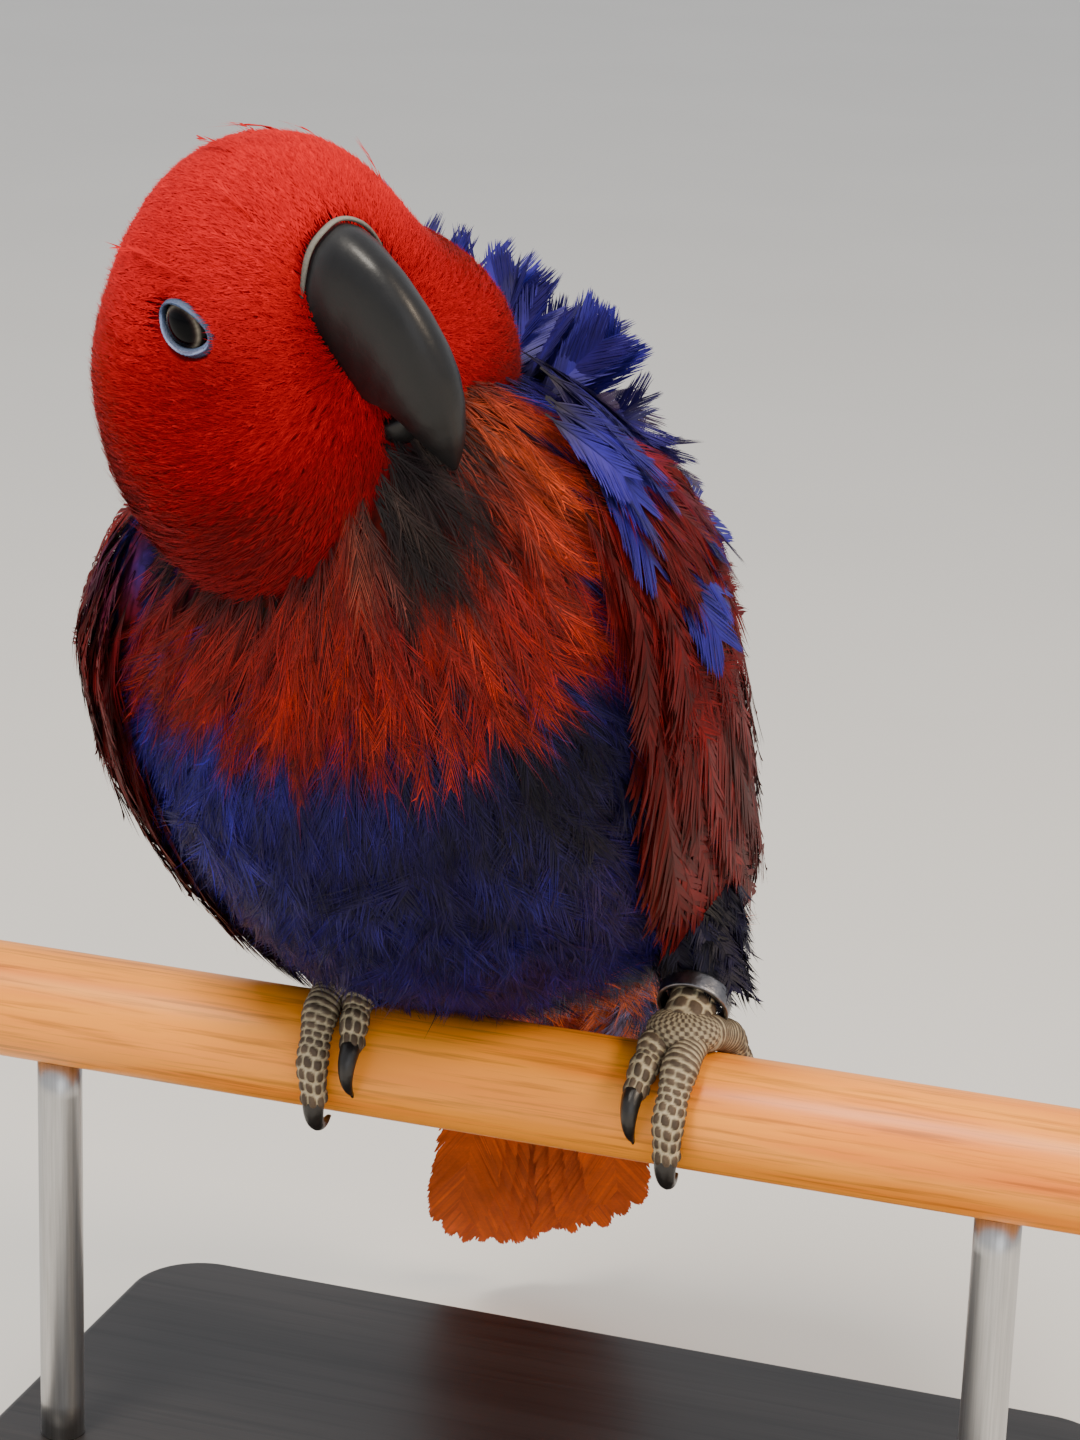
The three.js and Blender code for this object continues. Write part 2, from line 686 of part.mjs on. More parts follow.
function toePoint(foot, number, t, lift) {
  const { start, end, wrap } = TOES[number];
  const a = rad(wrap * t);
  const reach = PERCH_RADIUS + GAP + lift;
  const x = foot + Math.sign(foot) * lerp(start, end, Math.min(1, t) ** 0.8);
  return vec(x, -reach * Math.sin(a), reach * Math.cos(a));
}

function toe(foot, number, out = 0) {
  const stations = 7;
  const radii = steps(stations).map((k) => {
    const t = k / (stations - 1);
    return TOES[number].radius * (1 - 0.3 * t) * (1 + 0.05 * Math.cos(3 * TAU * t));
  });
  radii[stations - 1] *= 0.7;
  const points = radii.map((radius, k) => {
    return toePoint(foot, number, 0.06 + (0.94 * k) / (stations - 1), radius);
  });
  return limb(points, radii, out, 8);
}

function claw(foot, number) {
  const stations = 5;
  const { wrap, radius } = TOES[number];
  const root = CLAW.radius * (radius / 3.4);
  const radii = steps(stations).map((k) => root * (1 - (k / (stations - 1)) ** 1.4) + 0.3);
  const points = radii.map((r, k) => {
    const f = k / (stations - 1);
    const t = 0.97 + (CLAW.wrap / Math.abs(wrap)) * f;
    return toePoint(foot, number, t, r + 0.35 + CLAW.bow * Math.sin(Math.PI * Math.min(1, f + 0.1)));
  });
  return limb(points, radii, 0, 6);
}

// A plain band round the bird's left shank.
const RING = { inside: 5.3, thick: 0.9, height: 3.2, place: 0.62 };
function legRing(foot, out = 0) {
  const { inside, thick, height, place } = RING;
  const outside = inside + thick + out;
  const middle = shankPoint(foot, place);
  const axis = shankPoint(foot, 0).sub(shankPoint(foot, 1)).normalize();
  const across = vec(1, 0, 0);
  const over = vec(0, 0, 0).crossVectors(axis, across);
  const profile = [[inside - out, -0.5], [inside - out, 0.5], [outside, 0.5], [outside, -0.5]];
  return hoop(
    steps(20).map((i) => {
      const a = (TAU * i) / 20;
      return profile.map(([r, h]) => {
        const p = middle.clone().addScaledVector(axis, h * (height + 2 * out));
        return p.addScaledVector(across, r * Math.cos(a)).addScaledVector(over, r * Math.sin(a));
      });
    }),
  );
}

function perch(out = 0) {
  const half = PERCH_LENGTH / 2;
  const radius = PERCH_RADIUS + out;
  const profile = [
    [0, -half],
    [radius - 1, -half],
    [radius, -half + 1],
    [radius, half - 1],
    [radius - 1, half],
    [0, half],
  ];
  const dowel = new THREE.LatheGeometry(profile.map(([r, h]) => new THREE.Vector2(r, h)), 28);
  return solidOf(dowel.rotateZ(Math.PI / 2));
}

function rod(x) {
  const height = PERCH_HEIGHT - BASE_THICK - GAP;
  const bar = new THREE.CylinderGeometry(ROD_RADIUS, ROD_RADIUS, height, 18).rotateX(Math.PI / 2);
  return cut(solidOf(bar.translate(x, 0, -height / 2)), perch(GAP));
}

function base() {
  const [x, y, corner, bevel] = [BASE_LENGTH / 2 - 1.5, BASE_WIDTH / 2 - 1.5, 14, 1.5];
  const outline = new THREE.Shape();
  outline.moveTo(-x + corner, -y);
  outline.absarc(x - corner, -y + corner, corner, -Math.PI / 2, 0);
  outline.absarc(x - corner, y - corner, corner, 0, Math.PI / 2);
  outline.absarc(-x + corner, y - corner, corner, Math.PI / 2, Math.PI);
  outline.absarc(-x + corner, -y + corner, corner, Math.PI, 1.5 * Math.PI);
  const slab = new THREE.ExtrudeGeometry(outline, {
    depth: BASE_THICK - 2 * bevel,
    bevelThickness: bevel,
    bevelSize: bevel,
    bevelSegments: 1,
    curveSegments: 4,
  });
  return solidOf(slab.translate(0, 0, bevel - PERCH_HEIGHT));
}

// Finishes.
const finish = (color, roughness, metalness = 0) => {
  return new THREE.MeshStandardMaterial({ color, roughness, metalness });
};
const FINISH = {
  headRed: finish("#c3141b", 0.8),
  bibRed: finish("#a81c1e", 0.85),
  wingRed: finish("#701a1f", 0.7),
  tailRed: finish("#b8451d", 0.75),
  blue: finish("#2b1f78", 0.85),
  bill: finish("#17181b", 0.35),
  cere: finish("#6d747c", 0.6),
  eye: finish("#0c0b10", 0.08),
  lid: finish("#56627c", 0.7),
  skin: finish("#8d8474", 0.75),
  claw: finish("#17130f", 0.4),
  ring: finish("#9a9ca1", 0.35, 1),
  wood: finish("#cf8f4a", 0.45),
  stand: finish("#2a2a2c", 0.5),
};

// Each node is cut clear of its neighbours where they meet.
const bird = new THREE.Group();
bird.position.z = PERCH_HEIGHT;
function add(name, solid, material) {
  const { vertProperties, triVerts } = solid.getMesh();
  const geometry = new THREE.BufferGeometry();
  geometry.setAttribute("position", new THREE.BufferAttribute(vertProperties, 3));
  geometry.setIndex(new THREE.BufferAttribute(triVerts, 1));
  geometry.computeVertexNormals();
  const mesh = new THREE.Mesh(geometry, material);
  mesh.name = name;
  bird.add(mesh);
}

const sides = [["left", 1], ["right", -1]];
const toes = [3, 2, 4, 1];
const headClear = headSolid(GAP);
const billClear = [upperBill(GAP), lowerBill(GAP), cere(GAP)];
const torsoClear = bodySolid(TAIL_ROOT - END_GAP, NECK_BASE + END_GAP, 12, GAP);
const neckClear = bodySolid(NECK_BASE + END_GAP / 2, NECK_TOP, 6, GAP);
const ringClear = legRing(FEET.left, GAP);
const manes = [RUFF, MANTLE];
const legsClear = Object.values(FEET).flatMap((foot) => {
  return [thigh(foot, GAP), shank(foot, GAP), ...toes.map((number) => toe(foot, number, GAP))];
});

add("head", cut(headSolid(), ...billClear, ...sides.map(([, side]) => eyeSocket(side))), FINISH.headRed);
add("beak_upper", upperBill(), FINISH.bill);
add("beak_lower", cut(lowerBill(), upperBill(GAP)), FINISH.bill);
add("cere", cut(cere(), upperBill(GAP)), FINISH.cere);
add("neck", cut(bodySolid(NECK_BASE, NECK_TOP, 6), headClear, torsoClear, ...billClear), FINISH.bibRed);
const trunk = join([bodySolid(TAIL_ROOT, NECK_BASE, 12), ...manes.flatMap((mane) => raisedVanes(mane))]);
add("torso", cut(trunk, headClear, neckClear, ringClear, ...legsClear), FINISH.bibRed);
add("tail", cut(tail(), torsoClear), FINISH.tailRed);
sides.forEach(([name, side]) => {
  // The head's own right is the other way round the body's left.
  add(`eye_${name}`, eyeball(-side), FINISH.eye);
  add(`lids_${name}`, eyelids(-side), FINISH.lid);
  const raised = manes.flatMap((mane) => raisedVanes(mane, GAP));
  const clear = [torsoClear, neckClear, headClear, ...raised, ...legsClear];
  add(`wing_${name}`, cut(wing(side), ...clear), FINISH.wingRed);
  const foot = FEET[name];
  add(`thigh_${name}`, thigh(foot), FINISH.blue);
  add(`shank_${name}`, cut(shank(foot), thigh(foot, GAP), perch(GAP)), FINISH.skin);
  toes.forEach((number, k) => {
    const before = toes.slice(0, k).map((other) => toe(foot, other, GAP));
    const whole = toe(foot, number);
    add(`toe_${name}_${number}`, cut(whole, shank(foot, GAP), ringClear, ...before), FINISH.skin);
    add(`claw_${name}_${number}`, cut(claw(foot, number), toe(foot, number, GAP)), FINISH.claw);
  });
});
add("leg_ring", legRing(FEET.left), FINISH.ring);
add("perch", perch(), FINISH.wood);
add("stand_rod_left", rod(ROD_SPREAD), FINISH.stand);
add("stand_rod_right", rod(-ROD_SPREAD), FINISH.stand);
add("stand_base", base(), FINISH.stand);

export default bird;
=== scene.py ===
"""A female eclectus parrot, feather by feather, gripping a short dowel on a plain stand.

Lengths inside the shape functions are millimetres from the dowel's axis, with X along the dowel,
-Y ahead of the bird and +Z up. to_floor() turns them into metres above the floor.
"""

import math

import bpy
import numpy as np
from bpy.props import FloatProperty, FloatVectorProperty, IntProperty, PointerProperty
from mathutils import Matrix, Vector


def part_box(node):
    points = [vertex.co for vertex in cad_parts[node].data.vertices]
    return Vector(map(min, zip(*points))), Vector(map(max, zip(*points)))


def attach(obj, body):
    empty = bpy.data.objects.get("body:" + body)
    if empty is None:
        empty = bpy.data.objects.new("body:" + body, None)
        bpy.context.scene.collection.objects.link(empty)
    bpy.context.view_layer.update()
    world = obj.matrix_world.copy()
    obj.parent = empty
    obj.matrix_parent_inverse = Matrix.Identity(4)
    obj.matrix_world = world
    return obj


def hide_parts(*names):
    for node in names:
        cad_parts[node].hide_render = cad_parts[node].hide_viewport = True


bl_info = {
    "name": "Eclectus Parrot on a Perch",
    "version": (1, 0, 0),
    "blender": (4, 5, 0),
    "location": "3D View > Sidebar > Parrot",
    "description": "Builds the plumage, bill, eyes, feet, dowel and stand of a life-size parrot",
    "category": "Object",
}

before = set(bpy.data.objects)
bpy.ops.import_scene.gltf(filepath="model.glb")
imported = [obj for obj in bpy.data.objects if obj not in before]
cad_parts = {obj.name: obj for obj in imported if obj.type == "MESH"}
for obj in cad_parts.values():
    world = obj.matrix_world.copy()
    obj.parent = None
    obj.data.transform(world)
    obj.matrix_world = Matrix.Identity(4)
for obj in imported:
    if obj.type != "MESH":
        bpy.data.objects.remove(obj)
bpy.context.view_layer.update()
DOWEL_LOW, DOWEL_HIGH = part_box("perch")
_, BASE_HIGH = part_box("stand_base")
PERCH_HEIGHT = 500 * (DOWEL_LOW.z + DOWEL_HIGH.z)
PERCH_RADIUS = 500 * (DOWEL_HIGH.z - DOWEL_LOW.z)
PERCH_LENGTH = 1000 * (DOWEL_HIGH.x - DOWEL_LOW.x)
# Clearance between the toes and the dowel.
GAP = 0.32
# A small step along a surface, over which its scale is measured.
NUDGE = 1e-3

# Shapes shared by the pieces


def unit(v):
    """A vector, or each of an array of vectors, divided by its own length."""
    return v / np.maximum(np.linalg.norm(v, axis=-1, keepdims=True), 1e-9)


def turn_z(v, degrees):
    """Points turned about the upright axis: x cos - y sin, x sin + y cos."""
    a = math.radians(degrees)
    x, y, z = np.moveaxis(np.asarray(v, float), -1, 0)
    return np.stack([x * math.cos(a) - y * math.sin(a), x * math.sin(a) + y * math.cos(a), z], -1)


def smoothly(values, place):
    """A smooth curve through a list of values or points, read at places counted in steps of the list.
    Each step is the cubic whose slope at a value is half the difference of its two neighbours."""
    values = np.asarray(values, float)
    place = np.asarray(place, float)
    i = np.clip(np.floor(place).astype(int), 0, len(values) - 2)
    f = place - i
    ends = np.concatenate([2 * values[:1] - values[1:2], values, 2 * values[-1:] - values[-2:-1]])
    a, b, c, d = ends[i], ends[i + 1], ends[i + 2], ends[i + 3]
    if values.ndim > 1:
        f = f[..., None]
    return b + 0.5 * f * (c - a + f * (2 * a - 5 * b + 4 * c - d + f * (3 * (b - c) + d - a)))


def along(values, t):
    """The same curve read from 0 at the start of the list to 1 at its end."""
    return smoothly(values, np.asarray(t, float) * (len(values) - 1))


def ease(x, low, high):
    """A smooth step: 0 below low, 1 above high and 3t^2 - 2t^3 between them."""
    t = np.clip((np.asarray(x, float) - low) / (high - low), 0, 1)
    return t * t * (3 - 2 * t)


def to_floor(points):
    """Millimetres from the dowel's axis as metres above the floor."""
    return (np.asarray(points, float) + [0, 0, PERCH_HEIGHT]) / 1000


# How far the body is turned to its left about the upright axis, in degrees.
BODY_TURN = 14
# The body's sections from over the tail up to the neck: centre, and reach to the side, back and front.
SECTIONS = np.array([
    [3, 107, -67, 8, 7, 2],
    [3, 90, -44, 14, 9, 3],
    [2, 72, -21, 20, 12, 5],
    [1, 52, 2, 27, 17, 10],
    [-4, 37, 20, 39, 27, 21],
    [-8, 21, 39, 42, 36, 33],
    [-13, 5, 58, 44, 40, 40],
    [-18, -9, 77, 45, 40, 42],
    [-21.3, -20, 95, 41.7, 35, 37],
    [-25.2, -28, 111, 31.8, 28, 25],
    [-31, -33, 126, 22, 21, 17],
    [-33, -35, 138, 15, 14, 13],
], float)
# The section where the plumage of the neck begins, and the one where the skin ends inside the head.
NECK_TOP = 11
NECK_END = 10.9


def body_axes(s):
    """The body's middle line at s, and its axes there: ahead along the line, to the bird's left and
    out of the back."""
    line = SECTIONS[:, :3]
    middle = turn_z(smoothly(line, s), BODY_TURN)
    ahead = unit(turn_z(smoothly(line, s + 0.05) - smoothly(line, s - 0.05), BODY_TURN))
    level = turn_z([1.0, 0, 0], BODY_TURN)
    left = unit(level - ahead * (ahead @ level)[..., None])
    return middle, ahead, left, np.cross(ahead, left)


def body(s, angle, out=0.0):
    """The body's surface: round each section an ellipse with one depth behind and another in front,
    standing off by out. The angle is 0 at the back, 90 at the left and 180 at the belly."""
    s, angle, out = np.broadcast_arrays(np.asarray(s, float), angle, out)
    middle, _, left, back = body_axes(s)
    a = np.radians(angle)
    side, behind, front = [smoothly(SECTIONS[:, k], s) + out for k in (3, 4, 5)]
    depth = np.where(np.cos(a) > 0, behind, front)
    return middle + left * (side * np.sin(a))[..., None] + back * (depth * np.cos(a))[..., None]


# The head's scale, its turn, nod and tilt in degrees, the point between the eyes, and the middle of
# the head's plumage in the head's own lengths.
SKULL = 0.954
HEAD_TURN, HEAD_NOD, HEAD_TILT = 54.2, 5.0, -24.5
HEAD_AT = turn_z([-34.4, -35.6, 144.0], BODY_TURN)
HEAD_MIDDLE = np.array([-4.0, -9, 0])
# Each swelling of the head's plumage: its direction, its height and how many degrees it spreads.
SWELLINGS = [
    ((0.34, -0.66, 0.67), 8, 36),
    ((0.34, -0.66, -0.67), 8, 36),
    ((0.2, -0.8, 0.5), 7, 36),
    ((-0.5, -0.2, 0.8), 7, 42),
    ((-0.85, -0.35, 0), 4, 40),
    ((1, 0.2, 0), -5, 22),
    ((0.16, 0.28, 0.945), -3.2, 23),
    ((0.16, 0.28, -0.945), -2.4, 23),
    ((0.5, 0.85, 0), 1.6, 30),
]


def head_axes():
    """The head's own axes: ahead along the bill, up through the crown and to its right."""
    turn, nod, tilt = map(math.radians, (HEAD_TURN, HEAD_NOD, HEAD_TILT))
    ahead = np.array([math.sin(turn) * math.cos(nod), -math.cos(turn) * math.cos(nod), -math.sin(nod)])
    level = np.array([-math.cos(turn), -math.sin(turn), 0.0])
    right = level * math.cos(tilt) + np.cross(level, ahead) * math.sin(tilt)
    return np.array([ahead, np.cross(right, ahead), right])


HEAD_AXES = head_axes()


def head_point(lengths):
    """Points of the head from lengths ahead, up and to its right of the point between the eyes."""
    return HEAD_AT + SKULL * (np.asarray(lengths, float) @ HEAD_AXES)


def in_head(points):
    """The way back: millimetres ahead, up and to the head's right of the point between the eyes."""
    return (points - HEAD_AT) @ HEAD_AXES.T


def head_reach(way):
    """How far the head's plumage reaches from its middle in a direction: an egg plus its swellings,
    each a bell curve of the angle from its own direction."""
    size = np.stack([
        np.where(way[..., 0] > 0, 28.0, 27.0),
        np.where(way[..., 1] > 0, 27.0, 34.0),
        28 + (22.5 - 28) * ease(way[..., 1], -0.5, 0.4),
    ], -1)
    reach = 1 / np.linalg.norm(way / size, axis=-1)
    for toward, height, spread in SWELLINGS:
        angle = np.arccos(np.clip(way @ unit(np.array(toward, float)), -1, 1))
        reach = reach + height * np.exp(-((angle / math.radians(spread)) ** 2))
    return reach


def head(polar, around, out=0.0):
    """The head's surface: polar is the angle from the bill's direction, around the turn about it."""
    polar, around, out = np.broadcast_arrays(np.asarray(polar, float), around, out)
    way = np.stack([np.cos(polar), np.sin(polar) * np.cos(around), np.sin(polar) * np.sin(around)], -1)
    return head_point(HEAD_MIDDLE + way * (head_reach(way) + out / SKULL)[..., None])


def depth_in_head(points):
    """How deep points lie under the head's surface, in millimetres, below 0 outside it."""
    local = in_head(points) / SKULL - HEAD_MIDDLE
    far = np.linalg.norm(local, axis=-1)
    return (head_reach(unit(local)) - far) * SKULL


def level_with(points, sections):
    """For each point the body's section s that it is level with, its lengths to the left and out of
    the back there, and how far off level it is. The section is the one with the least of that
    distance and 0.15 of the way to its middle. Points are taken by the thousand to save memory."""
    s = np.linspace(2.5, 11.2, sections)
    middle, ahead, left, back = body_axes(s)
    found = []
    for start in range(0, len(points), 4000):
        p = points[start : start + 4000]
        d = p[:, None] - middle
        off = np.abs(np.einsum("nsk,sk->ns", d, ahead))
        k = np.argmin(off + 0.15 * np.linalg.norm(d, axis=-1), axis=1)
        d = p - middle[k]
        x, y = np.einsum("nk,nk->n", d, left[k]), np.einsum("nk,nk->n", d, back[k])
        found.append((s[k], x, y, off[np.arange(len(p)), k]))
    return [np.concatenate(values) for values in zip(*found)]


def depth_in_body(points):
    """How deep points lie under the body's surface, each compared with the ellipse of the section it
    is level with."""
    s, x, y, off = level_with(points, 120)
    side, behind, front = [smoothly(SECTIONS[:, c], s) for c in (3, 4, 5)]
    ratio = np.hypot(x / side, y / np.where(y > 0, behind, front))
    inside = (1 - ratio) * np.hypot(x, y) / np.maximum(ratio, 0.05)
    return np.where(off < 3, inside, -9)


# Feathers

# A feather's place on the unwrap is kept inside the sheet, and its own patch there is this small.
UNWRAP = (0.004, 0.996)
PATCH = 0.003
# The powers a and b of each kind of feather's outline.
OUTLINES = {"round": (0.45, 0.38), "long": (0.3, 0.3), "soft": (0.5, 0.55)}


def grown(surface, u, v, lean, length, rise, stations=6):
    """Paths of feathers that lie on a surface: from each root (u, v) the path runs length along the
    surface, lean radians from its first direction, and its height goes from rise[0] to rise[1] as
    the power rise[2] of the way along. Returns points and the directions out and across there."""
    here = surface(u, v, 0.0)
    per_u = np.linalg.norm(surface(u + NUDGE, v, 0.0) - here, axis=-1) / NUDGE
    per_v = np.linalg.norm(surface(u, v + NUDGE, 0.0) - here, axis=-1) / NUDGE
    t = np.linspace(0, 1, stations)
    us = u[:, None] + (np.cos(lean) * length)[:, None] * t / per_u[:, None]
    vs = v[:, None] + (np.sin(lean) * length)[:, None] * t / per_v[:, None]
    low, high, power = rise
    out = np.asarray(low)[..., None] + (np.asarray(high) - low)[..., None] * t**power
    return framed(surface, us, vs, np.broadcast_to(out, us.shape))


def framed(surface, us, vs, out):
    """Points of a surface along paths, with the directions out of it and across each path."""
    points = surface(us, vs, out)
    return with_axes(points, surface(us, vs, out + 0.5) - points)


def with_axes(points, away):
    """Paths with unit axes: out is away less its part along the path, and across is the cross product
    of the direction along the path and out."""
    run = unit(np.gradient(points, axis=1))
    out = unit(away - run * np.sum(away * run, -1, keepdims=True))
    return points, out, np.cross(run, out)


def vane_outline(kind, t):
    """Half width of a feather at t, as a share of the widest: t^a (1 - t)^b scaled to 1 at its peak."""
    a, b = OUTLINES[kind]
    peak = a / (a + b)
    return np.clip(t, 0, 1) ** a * np.clip(1 - t, 0, 1) ** b / (peak**a * (1 - peak) ** b)


def feathers(
    paths, width, rng, tint, root_tint, place, barbs=14, kind="round", slant=38.0, clean=0.22, loose=0.5,
    roll=0.0, camber=0.12, wide=1.35, fuzz=0.6, streak=0.16, shaft=0.3, shaft_tint=0.6, stem=5, blunt=0.55,
):
    """A mesh of pinnate feathers. Each has a shaft along its path and barbs to both sides: a barb
    leaves the shaft at slant degrees, reaches the feather's outline, and is a ribbon of three
    triangles that narrows to a point from its blunt share on. The vane is closed where ribbons
    overlap and frayed where loose moves their ends. Width is the widest span, clean the bare share
    of the shaft, and place the root's spot from 0 to 1 on the skin's unwrap. Returns points,
    triangles, UVs and tints."""
    points, out, across = paths
    count, stations = points.shape[:2]
    length = np.linalg.norm(np.diff(points, axis=1), axis=-1).sum(1)
    if np.any(roll):
        a = np.broadcast_to(roll, (count,))[:, None, None]
        across, out = across * np.cos(a) + out * np.sin(a), out * np.cos(a) - across * np.sin(a)
    ratio = np.median(0.5 * width / length)
    root = clean + (1 - clean) * (np.arange(barbs) + 0.5) / barbs
    sides = np.repeat([-1.0, 1.0], barbs)
    root = np.tile(root, 2)
    half = vane_outline(kind, (root - 0.5 * clean) / (1 - 0.5 * clean)) * 0.94 + 0.06
    tip = root + half * ratio / math.tan(math.radians(slant))
    spacing = (1 - clean) / barbs
    # Per barb: two corners at the shaft, two further out and the point.
    q = np.array([0, 0, blunt, blunt, 1])
    narrow = 0.2 + 0.3 * blunt
    wing = np.array([-0.5, 0.5, -narrow, narrow, 0]) * spacing * wide
    t = root[:, None] + (tip - root)[:, None] * q**1.1 + wing
    x = (sides * half)[:, None] * q**0.9
    n_barbs = 2 * barbs
    stray = rng.normal(0, 1, (count, n_barbs, 1))
    phase, waves = rng.uniform(0, 6.28, (count, 1, 1)), rng.uniform(9, 22, (count, 1, 1))
    clump = np.sin(phase + root[None, :, None] * waves)
    t = t[None] + (0.6 * stray + 0.8 * clump) * loose * spacing * q**2
    x = x[None] * (1 + 0.1 * loose * rng.normal(0, 1, (count, n_barbs, 1)) * q)
    lift = fuzz * np.abs(rng.normal(0, 1, (count, n_barbs, 1))) * q**2
    t, x, lift = [a.reshape(count, -1) for a in np.broadcast_arrays(t, x, lift)]
    # The shaft: a ribbon of two corners at each of its places.
    st = np.repeat(np.linspace(0, 0.97, stem), 2)
    sx = np.tile([-0.5, 0.5], stem) * shaft * (1.6 - 1.45 * st)
    t = np.concatenate([t, np.broadcast_to(st, (count, 2 * stem))], 1)
    w = np.broadcast_to(width, (count,))[:, None]
    offset = np.concatenate([x * w / 2, np.broadcast_to(sx, (count, 2 * stem))], 1)
    x = np.concatenate([x, np.broadcast_to(sx * 0.02, (count, 2 * stem))], 1)
    lift = np.concatenate([lift, np.full((count, 2 * stem), 0.12)], 1)
    lift = lift - camber * w * x**2
    i = np.clip(np.floor(t * (stations - 1)).astype(int), 0, stations - 2)
    f = (t * (stations - 1) - i)[..., None]
    row = np.arange(count)[:, None]

    def read(a):
        return a[row, i] * (1 - f) + a[row, i + 1] * f

    mesh_points = read(points) + read(across) * offset[..., None] + read(out) * lift[..., None]
    one, each = feather_triangles(sides, stem), mesh_points.shape[1]
    triangles = (one[None] + each * np.arange(count)[:, None, None]).reshape(-1, 3)
    # Tints: grey down at the root, then the feather's own colour, streaked barb by barb.
    barb_light = 1 + streak * np.repeat(rng.normal(0, 1, (count, n_barbs)), 5, 1)
    light = np.concatenate([barb_light, np.full((count, 2 * stem), shaft_tint)], 1)
    grow = ease(t, 0.08, 0.5)[..., None]
    tint = np.broadcast_to(tint, (count, 3))[:, None]
    root_tint = np.broadcast_to(root_tint, (count, 3))[:, None]
    colour = (root_tint * (1 - grow) + tint * grow) * np.clip(light, 0.35, 1.7)[..., None]
    uv = np.clip(place, *UNWRAP)[:, None] + PATCH * np.stack([x / 2, t - 0.5], -1)
    return mesh_points.reshape(-1, 3), triangles, uv.reshape(-1, 2), colour.reshape(-1, 3)


def feather_triangles(sides, stem):
    """Triangles of one feather: three for each barb's five corners, turned over on the side where
    sides is above 0, then two for each step of the shaft."""
    b = 5 * np.arange(len(sides))[:, None]
    barbs = np.concatenate([b + [0, 1, 3], b + [0, 3, 2], b + [2, 3, 4]])
    flip = np.tile(sides > 0, 3)
    barbs[flip] = barbs[flip][:, ::-1]
    s = 5 * len(sides) + 2 * np.arange(stem - 1)[:, None]
    return np.concatenate([barbs, s + [0, 1, 3], s + [0, 3, 2]])


def joined(meshes):
    """Several meshes as one. Each is its points, its faces and any values per point: arrays are put
    end to end, and each mesh's faces are moved on by the points before it."""
    starts = np.cumsum([0] + [len(mesh[0]) for mesh in meshes[:-1]])
    faces = np.concatenate([mesh[1] + start for mesh, start in zip(meshes, starts)])
    points, _, *values = [np.concatenate([mesh[k] for mesh in meshes]) for k in range(len(meshes[0]))]
    return points, faces, *values


def scattered(surface, u_range, v_range, spacing, rng):
    """Roots spread evenly over a patch of a surface: rows a spacing apart along u, places a spacing
    apart along v in each row, every other row moved by half, and all moved a little at random."""
    us, fine = [], np.linspace(*v_range, 181)
    u = u_range[0]
    while u < u_range[1]:
        us.append(u)
        middle = np.linspace(*v_range, 9)
        moved = surface(u + NUDGE, middle, 0.0) - surface(u, middle, 0.0)
        per_u = np.linalg.norm(moved, axis=-1).mean() / NUDGE
        u += 0.87 * spacing / max(per_u, 1e-6)
    out_u, out_v = [], []
    for k, u in enumerate(us):
        row = surface(np.full(181, u), fine, 0.0)
        run = np.concatenate([[0], np.cumsum(np.linalg.norm(np.diff(row, axis=0), axis=-1))])
        number = max(int(run[-1] / spacing), 1)
        at = (np.arange(number) + 0.5 * (k % 2) + 0.25 + rng.uniform(-0.3, 0.3, number)) / number
        out_v.append(np.interp(np.mod(at, 1) * run[-1], run, fine))
        out_u.append(u + rng.uniform(-0.3, 0.3, number) * ((us[1] - us[0]) if len(us) > 1 else 0))
    return np.concatenate(out_u), np.concatenate(out_v)


def linear(colour):
    """A display colour as linear light: ((c + 0.055) / 1.055)^2.4, or c / 12.92 when dark."""
    c = np.asarray(colour, float)
    return np.where(c > 0.04045, ((c + 0.055) / 1.055) ** 2.4, c / 12.92)


def mixed(a, b, share):
    """Colours a and b mixed by a share from 0 to 1 for each feather."""
    share = np.asarray(share, float)[..., None]
    return np.asarray(a) * (1 - share) + np.asarray(b) * share


def varied(colour, rng, amount=0.1):
    """Each feather's colour made a little lighter or darker at random."""
    colour = np.atleast_2d(colour)
    return colour * np.clip(1 + amount * rng.normal(0, 1, (len(colour), 1)), 0.5, 1.6)


def make_piece(name, points, faces, material, uv=None, tint=None, replaces=(), smooth=True):
    """One finished piece from whole arrays: points in metres, faces of one number of sides, and UVs
    and tints per point."""
    mesh = bpy.data.meshes.new(name)
    faces = np.asarray(faces, np.int32)
    sides = faces.shape[1]
    mesh.vertices.add(len(points))
    mesh.vertices.foreach_set("co", np.asarray(points, np.float32).ravel())
    mesh.loops.add(faces.size)
    mesh.loops.foreach_set("vertex_index", faces.ravel())
    mesh.polygons.add(len(faces))
    mesh.polygons.foreach_set("loop_start", np.arange(0, faces.size, sides, dtype=np.int32))
    mesh.update(calc_edges=True)
    if uv is not None:
        layer = mesh.uv_layers.new(name="OFBake")
        layer.data.foreach_set("uv", np.asarray(uv, np.float32)[faces.ravel()].ravel())
    if tint is not None:
        layer = mesh.attributes.new("Tint", "FLOAT_COLOR", "POINT")
        rgba = np.concatenate([tint, np.ones((len(tint), 1))], 1).astype(np.float32)
        layer.data.foreach_set("color", rgba.ravel())
    mesh.validate()
    mesh.polygons.foreach_set("use_smooth", np.full(len(mesh.polygons), smooth))
    piece = bpy.data.objects.new(name, mesh)
    bpy.context.scene.collection.objects.link(piece)
    mesh.materials.append(material)
    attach(piece, "root")
    if replaces:
        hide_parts(*replaces)


def grid_faces(rows, columns, around=True):
    """Quads over a grid of points, joined round its columns where around is true."""
    r, c = np.meshgrid(np.arange(rows - 1), np.arange(columns if around else columns - 1), indexing="ij")
    n = (c + 1) % columns
    row, below = r * columns, (r + 1) * columns
    return np.stack([row + c, row + n, below + n, below + c], -1).reshape(-1, 4)


